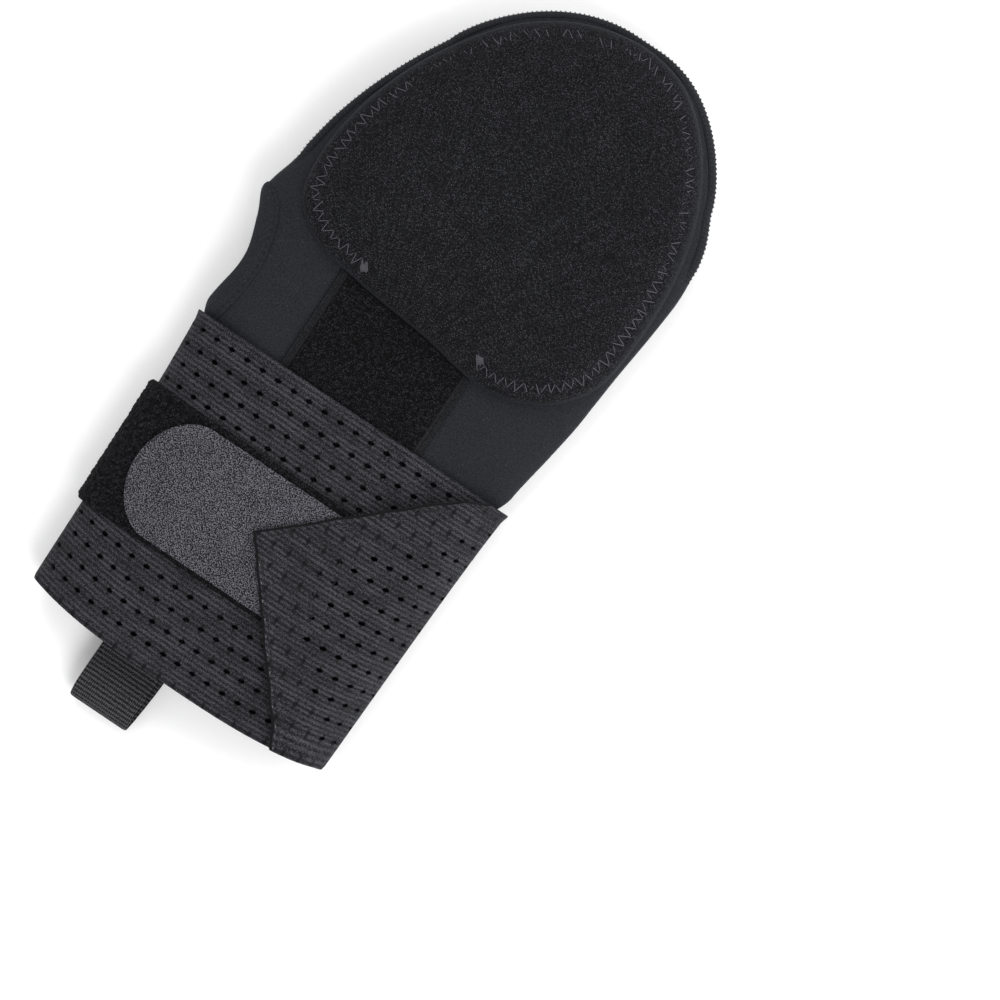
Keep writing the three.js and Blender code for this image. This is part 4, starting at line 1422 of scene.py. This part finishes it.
def make_strap():
    """The perforated elastic strap, wound almost twice, with its hemmed point."""
    strap = Winding(STRAP_WIDTH, strap_y, strap_offset, strap_stops, rows=61)
    on_top = strap.stops[5] + 3
    point_u = strap.u_at(POINT_BELOW_TOP / STRAP_WIDTH, POINT_X, on_top)
    point = np.array([point_u, POINT_BELOW_TOP - FLAP_DRIFT])
    upper = np.array([strap.u_at(0, UPPER_SHOULDER_X, on_top), 0])
    lower = np.array([strap.u_at(1, LOWER_SHOULDER_X, on_top), STRAP_WIDTH])
    sides = []
    for shoulder in (upper, lower):
        edge = unit(point - shoulder)
        out = np.array([edge[1], -edge[0]])
        sides.append((shoulder, out * np.sign(out[0])))
    flat, faces = strap_flat(point_u + 2, sides)

    def inset_of(spots):
        """How far flat places lie inside the point's edges."""
        return np.min([(place - spots) @ out for place, out in sides], axis=0)

    def lie(spots, height):
        """Where flat places of the strap lie, with the flap's slack, drift and wavy hem."""
        u, v = spots.T
        u = u + HEM_WAVE * ripple(u, v, 11, 41) * (1 - smoothstep(inset_of(spots), 1, 9))
        slack = smoothstep(u, on_top, on_top + 18) * (0.25 + 0.25 * ripple(u, v, 38, 9))
        border = smoothstep(np.minimum(v, STRAP_WIDTH - v), 0, DRIFT_BORDER)
        drift = FLAP_DRIFT * smoothstep(u, strap.stops[3], strap.stops[5]) * border
        return strap.place(np.stack([u, v + drift], -1), height + slack)

    inset = inset_of(flat)
    from_side = np.minimum(flat[:, 1], STRAP_WIDTH - flat[:, 1])
    height = STRAP_THICKNESS + HEM_THICKER * (1 - smoothstep(inset, HEM_FOLD, HEM_FOLD_END))
    height = height * lerp(0.55, 1, smoothstep(inset, -0.4, 0.7))
    height = height * lerp(0.75, 1, smoothstep(from_side, 0, 1.2))
    piece = sheet_mesh("wrist_strap", flat, faces, lie(flat, height), lie(flat, 0), elastic)
    # painted shadow: the faces just inside the point's edges get a near-black finish where the flap's edge
    # drops its shadow
    paint(piece, point_edge_shadow, lambda u, v: inset_of(np.array([[u, v]]))[0] < POINT_SHADOW_WIDTH)

    def hem_line(shoulder, out, inset):
        return np.stack([shoulder, point]) - inset * out

    hem_top = STRAP_THICKNESS + HEM_THICKER + 0.05
    parts = [
        running_stitches(hem_line(*side, HEM_STITCH_INSET), lie, hem_top, 0.22, 2.3, 1.0)
        for side in sides
    ]
    spot_line = hem_line(*sides[1], HEM_SPOT_INSET)
    spots = running_stitches(spot_line, lie, hem_top + 0.05, 0.22, 1.0, 5.6)
    for u in SEWN_ROWS:
        sewn = np.array([(u, 2.0), (u, STRAP_WIDTH - 2)])
        parts.append(running_stitches(sewn, strap.place, STRAP_THICKNESS, 0.24, 2.4, 0.9))
    threads = thread_object("strap_stitches", parts, dark_thread)
    bindings = thread_object("strap_hem_spots", [spots], spot_thread)
    straight = (lower[0] + upper[0]) / 2
    area = float((straight + point_u) / 2 * STRAP_WIDTH)
    return piece, [threads, bindings], point_u, area


def make_patch():
    """The black loop patch, sewn on the strap round the thumb's edge."""
    patch = Winding(PATCH_WIDTH, patch_y, patch_offset, patch_stops, rows=25)
    length = patch.stops[-1]
    us = np.linspace(0, length, int(length / 0.55) + 1)
    vs = np.linspace(0, PATCH_WIDTH, int(PATCH_WIDTH / 0.55) + 1)
    flat, faces = flat_grid(us, vs)
    u, v = flat.T
    edge = lerp(0.5, 1, smoothstep(np.minimum(v, PATCH_WIDTH - v), 0, 1.6))
    edge = edge * lerp(0.6, 1, smoothstep(length - u, 0, 1.2))
    lift = bumpy(u, v, 1.45, 31)
    top = patch.place(flat, (PATCH_THICKNESS - PILE_RISE + 0.7 * lift) * edge)
    piece = sheet_mesh("strap_loop_patch", flat, faces, top, patch.place(flat, 0), pile, lift)
    return piece, length


def make_tab():
    """The grey hook tab with a round end, lying on the patch."""
    rows, columns = 72, 110
    across = np.sin(math.pi * (np.linspace(0, 1, rows) - 0.5))[:, None]
    share = np.sin(QUARTER * np.linspace(0, 1, columns))[None, :]
    end_x = TAB_LEFT + TAB_ROUND * (1 - np.sqrt(1 - across ** 2))
    x, y, end, from_middle = (grid.ravel() for grid in np.broadcast_arrays(
        lerp(TAB_ROOT, end_x, share), STRAP_TOP - TAB_BELOW_TOP - across * TAB_WIDTH / 2,
        end_x, np.abs(across) * TAB_WIDTH / 2))
    flat = np.stack([x, y], -1)
    from_edge = np.minimum(x - end, TAB_WIDTH / 2 - from_middle)
    rounding = np.sqrt(np.clip(1 - (1 - np.clip(from_edge / 0.8, 0, 1)) ** 2, 0, 1))
    height = TAB_THICKNESS * lerp(0.35, 1, rounding) + 0.1 * ripple(x, y, 30, 17)
    place = on_body(1)
    top = place(flat, OVER_PATCH + height)
    bottom = place(flat, OVER_PATCH + 0.05 * (1 - rounding))
    return sheet_mesh("hook_tab_knit", flat, grid_faces(rows, columns), top, bottom, hook_knit)


def make_cuff():
    """The overlocked edge round the wrist mouth: a thin band and the threads over it."""
    mouth = section_at(0)
    inside = hollow_at(0)
    angles = ring_angles(0, mouth, 0, 40)
    face = GAP - CUFF_PRESS
    top = CUFF_BAND - GAP
    bottom = -GAP - CUFF_THICKNESS
    # Columns: the section, Y, the offset off it, and the share of the way to the other section
    profile = [
        (mouth, top, face, 0),
        (mouth, top, face + CUFF_THICKNESS, 0),
        (mouth, 0, face + CUFF_THICKNESS, 0),
        (mouth, bottom * 0.7, face + 0.3, 0.2),
        (mouth, bottom, face, 0.5),
        (inside, bottom * 0.7, -GAP - 0.3, 0.2),
        (inside, 0, bottom, 0),
        (inside, top, bottom, 0),
        (inside, top, -GAP, 0),
        (inside, -GAP, -GAP, 0),
        (mouth, -GAP, face, 0),
    ]
    rings = []
    for section, y, offset, towards in profile:
        other = point_on(inside if section is mouth else mouth, y, angles, -GAP)
        rings.append(lerp(point_on(section, y, angles, offset), other, towards))
    faces = grid_faces(len(rings), len(angles), closed=True, looped=True)
    band = solid_object("cuff_band", bow_mouth(np.concatenate(rings)), faces, woven, sharp=60)

    over = face + CUFF_THICKNESS + 0.15
    route = [
        (mouth, top - 0.6, over - 0.3),
        (mouth, top - 1.4, over),
        (mouth, 2.5, over),
        (mouth, 0.2, over),
        (mouth, bottom - 0.1, over - 0.7),
        (inside, bottom - 0.1, -GAP - 0.1),
        (inside, 0.2, bottom - 0.1),
        (inside, 2.5, bottom - 0.15),
        (inside, top - 1.4, bottom - 0.1),
        (inside, top - 0.6, bottom + 0.2),
    ]
    angles = ring_angles(0, mouth, 0, 38)
    paths = np.stack([point_on(section, y, angles, offset) for section, y, offset in route], axis=1)
    paths = bow_mouth(paths.reshape(-1, 3)).reshape(paths.shape)
    middle = np.array([float(mouth.centre), 3.0, float(mouth.middle)])
    ups = np.cross(unit(paths - middle), [0, 0, 1.0]) + [0.01, 0.9, 0.02]
    threads = tube_mesh(paths, ups, 0.3, sides=5)
    return band, thread_object("cuff_threads", [threads], dark_thread)


def rim_line(step):
    """The rim in plan from the thumb's bump round the tip, and the way out of it."""
    ys = np.concatenate([
        np.arange(SEAM_START, ROUND_START, 2.0),
        ROUND_START + ROUNDED_TIP * (1 - (1 - np.linspace(0, 1, 60)) ** 2),
    ])
    section = section_at(ys)
    left = np.stack([section.centre - section.half_width, ys], -1)
    right = np.stack([section.centre + section.half_width, ys], -1)[::-1]
    right = right[right[:, 1] > SEAM_END]
    path = resample(np.concatenate([left, right]), step)
    along = unit(np.gradient(path, axis=0))
    for _ in range(3):
        along[1:-1] = unit(along[:-2] + along[1:-1] + along[2:])
    return path, np.stack([-along[:, 1], along[:, 0]], -1)


def rim_profiles(path, out, offset, cover, count):
    """Lines over the rim at each place of the path, from the top round to the underside.
    They sink into the body at both ends of the path."""
    turned = np.linspace(0, math.pi, count)
    inset = cover * np.abs(np.cos(turned)) ** 1.3
    inset[np.argmin(inset)] = 0
    run = lengths_along(path)
    full = smoothstep(run, 0, SEAM_TAPER) * smoothstep(run[-1] - run, 0, SEAM_TAPER)
    offset = lerp(offset - 0.8, offset, full)[:, None] - 0.45 * np.abs(np.cos(turned)) ** 4
    places = path[:, None, :] - inset[None, :, None] * out[:, None, :]
    height = half_thickness(places[..., 0].ravel(), places[..., 1].ravel()).reshape(places.shape[:2])
    height = height * np.where(turned <= QUARTER + 1e-9, 1.0, -1.0)
    height[:, count // 2] = 0
    away = -np.broadcast_to(inset, height.shape)
    normal = unit(np.stack([-np.gradient(height, axis=1), np.gradient(away, axis=1)], -1))
    away = away + offset * normal[..., 0]
    height = height + offset * normal[..., 1]
    flat = path[:, None, :] + away[..., None] * out[:, None, :]
    middle = section_at(path[:, 1]).middle[:, None]
    return np.concatenate([flat, (middle + height)[..., None]], axis=-1)


def make_rim_seam():
    """The overlocked rim: a thin cover, threads wrapped over it and a line on each side."""
    count = 15
    path, out = rim_line(OVERLOCK_PITCH / 2)
    outer = rim_profiles(path, out, GAP + 0.25, SEAM_COVER, count)
    inner = rim_profiles(path, out, 0.05, SEAM_COVER - 0.1, count)
    loops = np.concatenate([outer, inner[:, ::-1]], axis=1)
    faces = tube_faces(*loops.shape[:2])
    band = solid_object("rim_seam_band", loops.reshape(-1, 3), faces, neoprene, sharp=70)

    path, out = rim_line(OVERLOCK_PITCH)
    over = rim_profiles(path, out, GAP + 0.38, SEAM_COVER - 0.4, count)
    paths = lerp(over[:-1], over[1:], np.linspace(0, 0.55, count)[None, :, None])
    paths[:, [0, -1], 2] += np.array([-0.4, 0.4])
    ups = np.zeros_like(paths)
    ups[..., :2] = np.stack([-out[:-1, 1], out[:-1, 0]], -1)[:, None, :]
    parts = [tube_mesh(paths, ups, 0.27)]
    for column in (0, count - 1):
        line = over[:, column][None]
        parts.append(tube_mesh(line, np.broadcast_to([0, 0, 1.0], line.shape), 0.2))
    return band, thread_object("rim_overlock_threads", parts, dark_thread)


def loop_route(half):
    """The webbing's middle line as (Y, Z): under the cuff, round and back inside it."""
    section = section_at(0)
    inside = hollow_at(0)
    low_z = float(section.middle - section.half_height) - GAP - half
    high_z = float(inside.middle - inside.half_height * 0.96) + 2 * GAP + CUFF_THICKNESS + half
    end_y = -STRAP_BELOW_MOUTH - LOOP_LENGTH

    def along_leg(share):
        return lerp(-STRAP_BELOW_MOUTH, end_y, share)

    return catmull_rom([
        (PANEL_ABOVE_MOUTH - GAP, low_z),
        (-STRAP_BELOW_MOUTH, low_z),
        (along_leg(0.5), low_z - LOOP_BELLY / 2),
        (along_leg(0.82), low_z - LOOP_BELLY / 3),
        (end_y + half, (low_z + high_z) / 2),
        (along_leg(0.82), high_z + LOOP_BELLY / 2),
        (along_leg(0.5), high_z + LOOP_BELLY),
        (-STRAP_BELOW_MOUTH - 2, high_z),
        (LOOP_GRIP, high_z),
    ], 300)


def make_pull_loop():
    """The ribbed webbing loop that grips the cuff's lower wall."""
    half = WEBBING_THICKNESS / 2
    line = loop_route(half)
    length = float(lengths_along(line)[-1])
    slope = unit(np.gradient(line, axis=0))
    normal = np.stack([-slope[:, 1], slope[:, 0]], -1)
    border = np.array([0, 0.25, 0.6])
    us = np.concatenate([border, np.linspace(1, WEBBING_WIDTH - 1, 25), WEBBING_WIDTH - border[::-1]])
    flat, faces = flat_grid(us, np.linspace(0, length, len(line)))
    row = np.repeat(np.arange(len(line)), len(us))
    u, v = flat.T
    edge = np.minimum(u, WEBBING_WIDTH - u)
    thick = half * lerp(0.35, 1, np.sqrt(np.clip(edge / 0.7, 0, 1)))
    rib = WEBBING_RIB_HEIGHT * np.cos(TURN * v / WEBBING_RIB) * smoothstep(edge, 0.2, 1.2)
    x = WEBBING_LEFT + u + WEBBING_SKEW * (1 - smoothstep(v, 0.2 * length, 0.62 * length))
    top, bottom = (
        np.stack([x, *(line[row] + (side * thick + rib)[:, None] * normal[row]).T], -1) for side in (1, -1))
    return sheet_mesh("webbing_pull_loop", flat, faces, top, bottom, webbing), length


# The object


body = make_body()
hem, hem_stitches = make_thumb_hem()
seam, seam_threads = make_rim_seam()
cuff, cuff_threads = make_cuff()
upper_pad = make_pad(1, "upper_foam_pad")
upper_stitches = make_pad_stitches(1, "upper_pad_zigzag")
lower_pad = make_pad(-1, "lower_foam_pad")
lower_stitches = make_pad_stitches(-1, "lower_pad_zigzag")
strip, strip_stitches = make_upper_strip()
panel, panel_stitches = make_anchor_panel()
strap, strap_threads, strap_length, strap_area = make_strap()
patch, patch_length = make_patch()
tab = make_tab()
pull_loop, webbing_length = make_pull_loop()

# Columns: piece, the CAD node that it replaces, its slot, and the threads on it
for piece, node, slot, threads in (
    (body, "mitt_body", "neoprene", []),
    (hem, "thumb_hem", "binding", [hem_stitches]),
    (seam, "edge_seam", "seam_thread", [seam_threads]),
    (cuff, "cuff_binding", "seam_thread", [cuff_threads]),
    (upper_pad, "upper_pad", "pad_knit", [upper_stitches]),
    (lower_pad, "lower_pad", "pad_knit", [lower_stitches]),
    (strip, "upper_strip", "pile", [strip_stitches]),
    (panel, "anchor_panel", "binding", [panel_stitches]),
    (strap, "wrap_strap", "elastic", strap_threads),
    (patch, "loop_patch", "pile", []),
    (tab, "hook_tab", "hook_knit", []),
    (pull_loop, "pull_loop", "webbing", []),
):
    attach(piece, "root")
    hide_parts(node)
    for thread in threads:
        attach(thread, "root")


# Stage, lights and camera


FLOOR_REACH = 3.0
FLOOR_HEIGHT = -0.0003


def make_floor():
    mesh = bpy.data.meshes.new("floor")
    corners = [(x * FLOOR_REACH, y * FLOOR_REACH, 0) for x, y in ((-1, -1), (1, -1), (1, 1), (-1, 1))]
    mesh.from_pydata(corners, [], [(0, 1, 2, 3)])
    mesh.materials.append(floor_finish())
    floor = bpy.data.objects.new("floor", mesh)
    floor.location.z = FLOOR_HEIGHT
    bpy.context.collection.objects.link(floor)


# Area lights that face the mitt, in metres and watts. Columns: name, place, size, power
LIGHTS = (
    ("key", (-0.5, 0.9, 1.3), 0.9, 8),
    ("fill", (0.9, -0.5, 1.2), 1.0, 12),
    ("side", (1.2, 0.8, 0.5), 1.0, 9),
)
WORLD_STRENGTH = 0.85


def make_light(name, place, size, power):
    lamp = bpy.data.lights.new(name, "AREA")
    lamp.shape = "DISK"
    lamp.size = size
    lamp.energy = power
    light = bpy.data.objects.new(name, lamp)
    light.location = place
    light.rotation_euler = (-Vector(place)).to_track_quat("-Z", "Y").to_euler()
    bpy.context.collection.objects.link(light)


def make_world():
    world = bpy.data.worlds.new("studio")
    world.use_nodes = True
    back = world.node_tree.nodes["Background"]
    back.inputs["Color"].default_value = (1, 1, 1, 1)
    back.inputs["Strength"].default_value = WORLD_STRENGTH
    bpy.context.scene.world = world


# The photo looks straight down. Its picture is turned so that the fingers point up and right.
PHOTO_TURN = math.radians(-33.88)
VIEW_WIDTH = 0.366
CAMERA_HEIGHT = 1.05
SUBJECT_HEIGHT = 0.025
FRAME_RIGHT = 0.0447
FRAME_DOWN = 0.0430


def make_camera():
    lens = bpy.data.cameras.new("camera")
    lens.sensor_width = 36
    distance = CAMERA_HEIGHT - SUBJECT_HEIGHT
    lens.lens = lens.sensor_width * distance / VIEW_WIDTH
    lens.clip_start = 0.05
    camera = bpy.data.objects.new("camera", lens)
    right = Vector((math.cos(PHOTO_TURN), -math.sin(PHOTO_TURN), 0))
    up = Vector((math.sin(PHOTO_TURN), math.cos(PHOTO_TURN), 0))
    middle = FRAME_RIGHT * right - FRAME_DOWN * up
    camera.location = (middle.x, middle.y, CAMERA_HEIGHT)
    camera.rotation_euler = (0, 0, -PHOTO_TURN)
    bpy.context.collection.objects.link(camera)
    bpy.context.scene.camera = camera


make_floor()
make_world()
for light in LIGHTS:
    make_light(*light)
make_camera()
bpy.context.scene.view_settings.view_transform = "Standard"
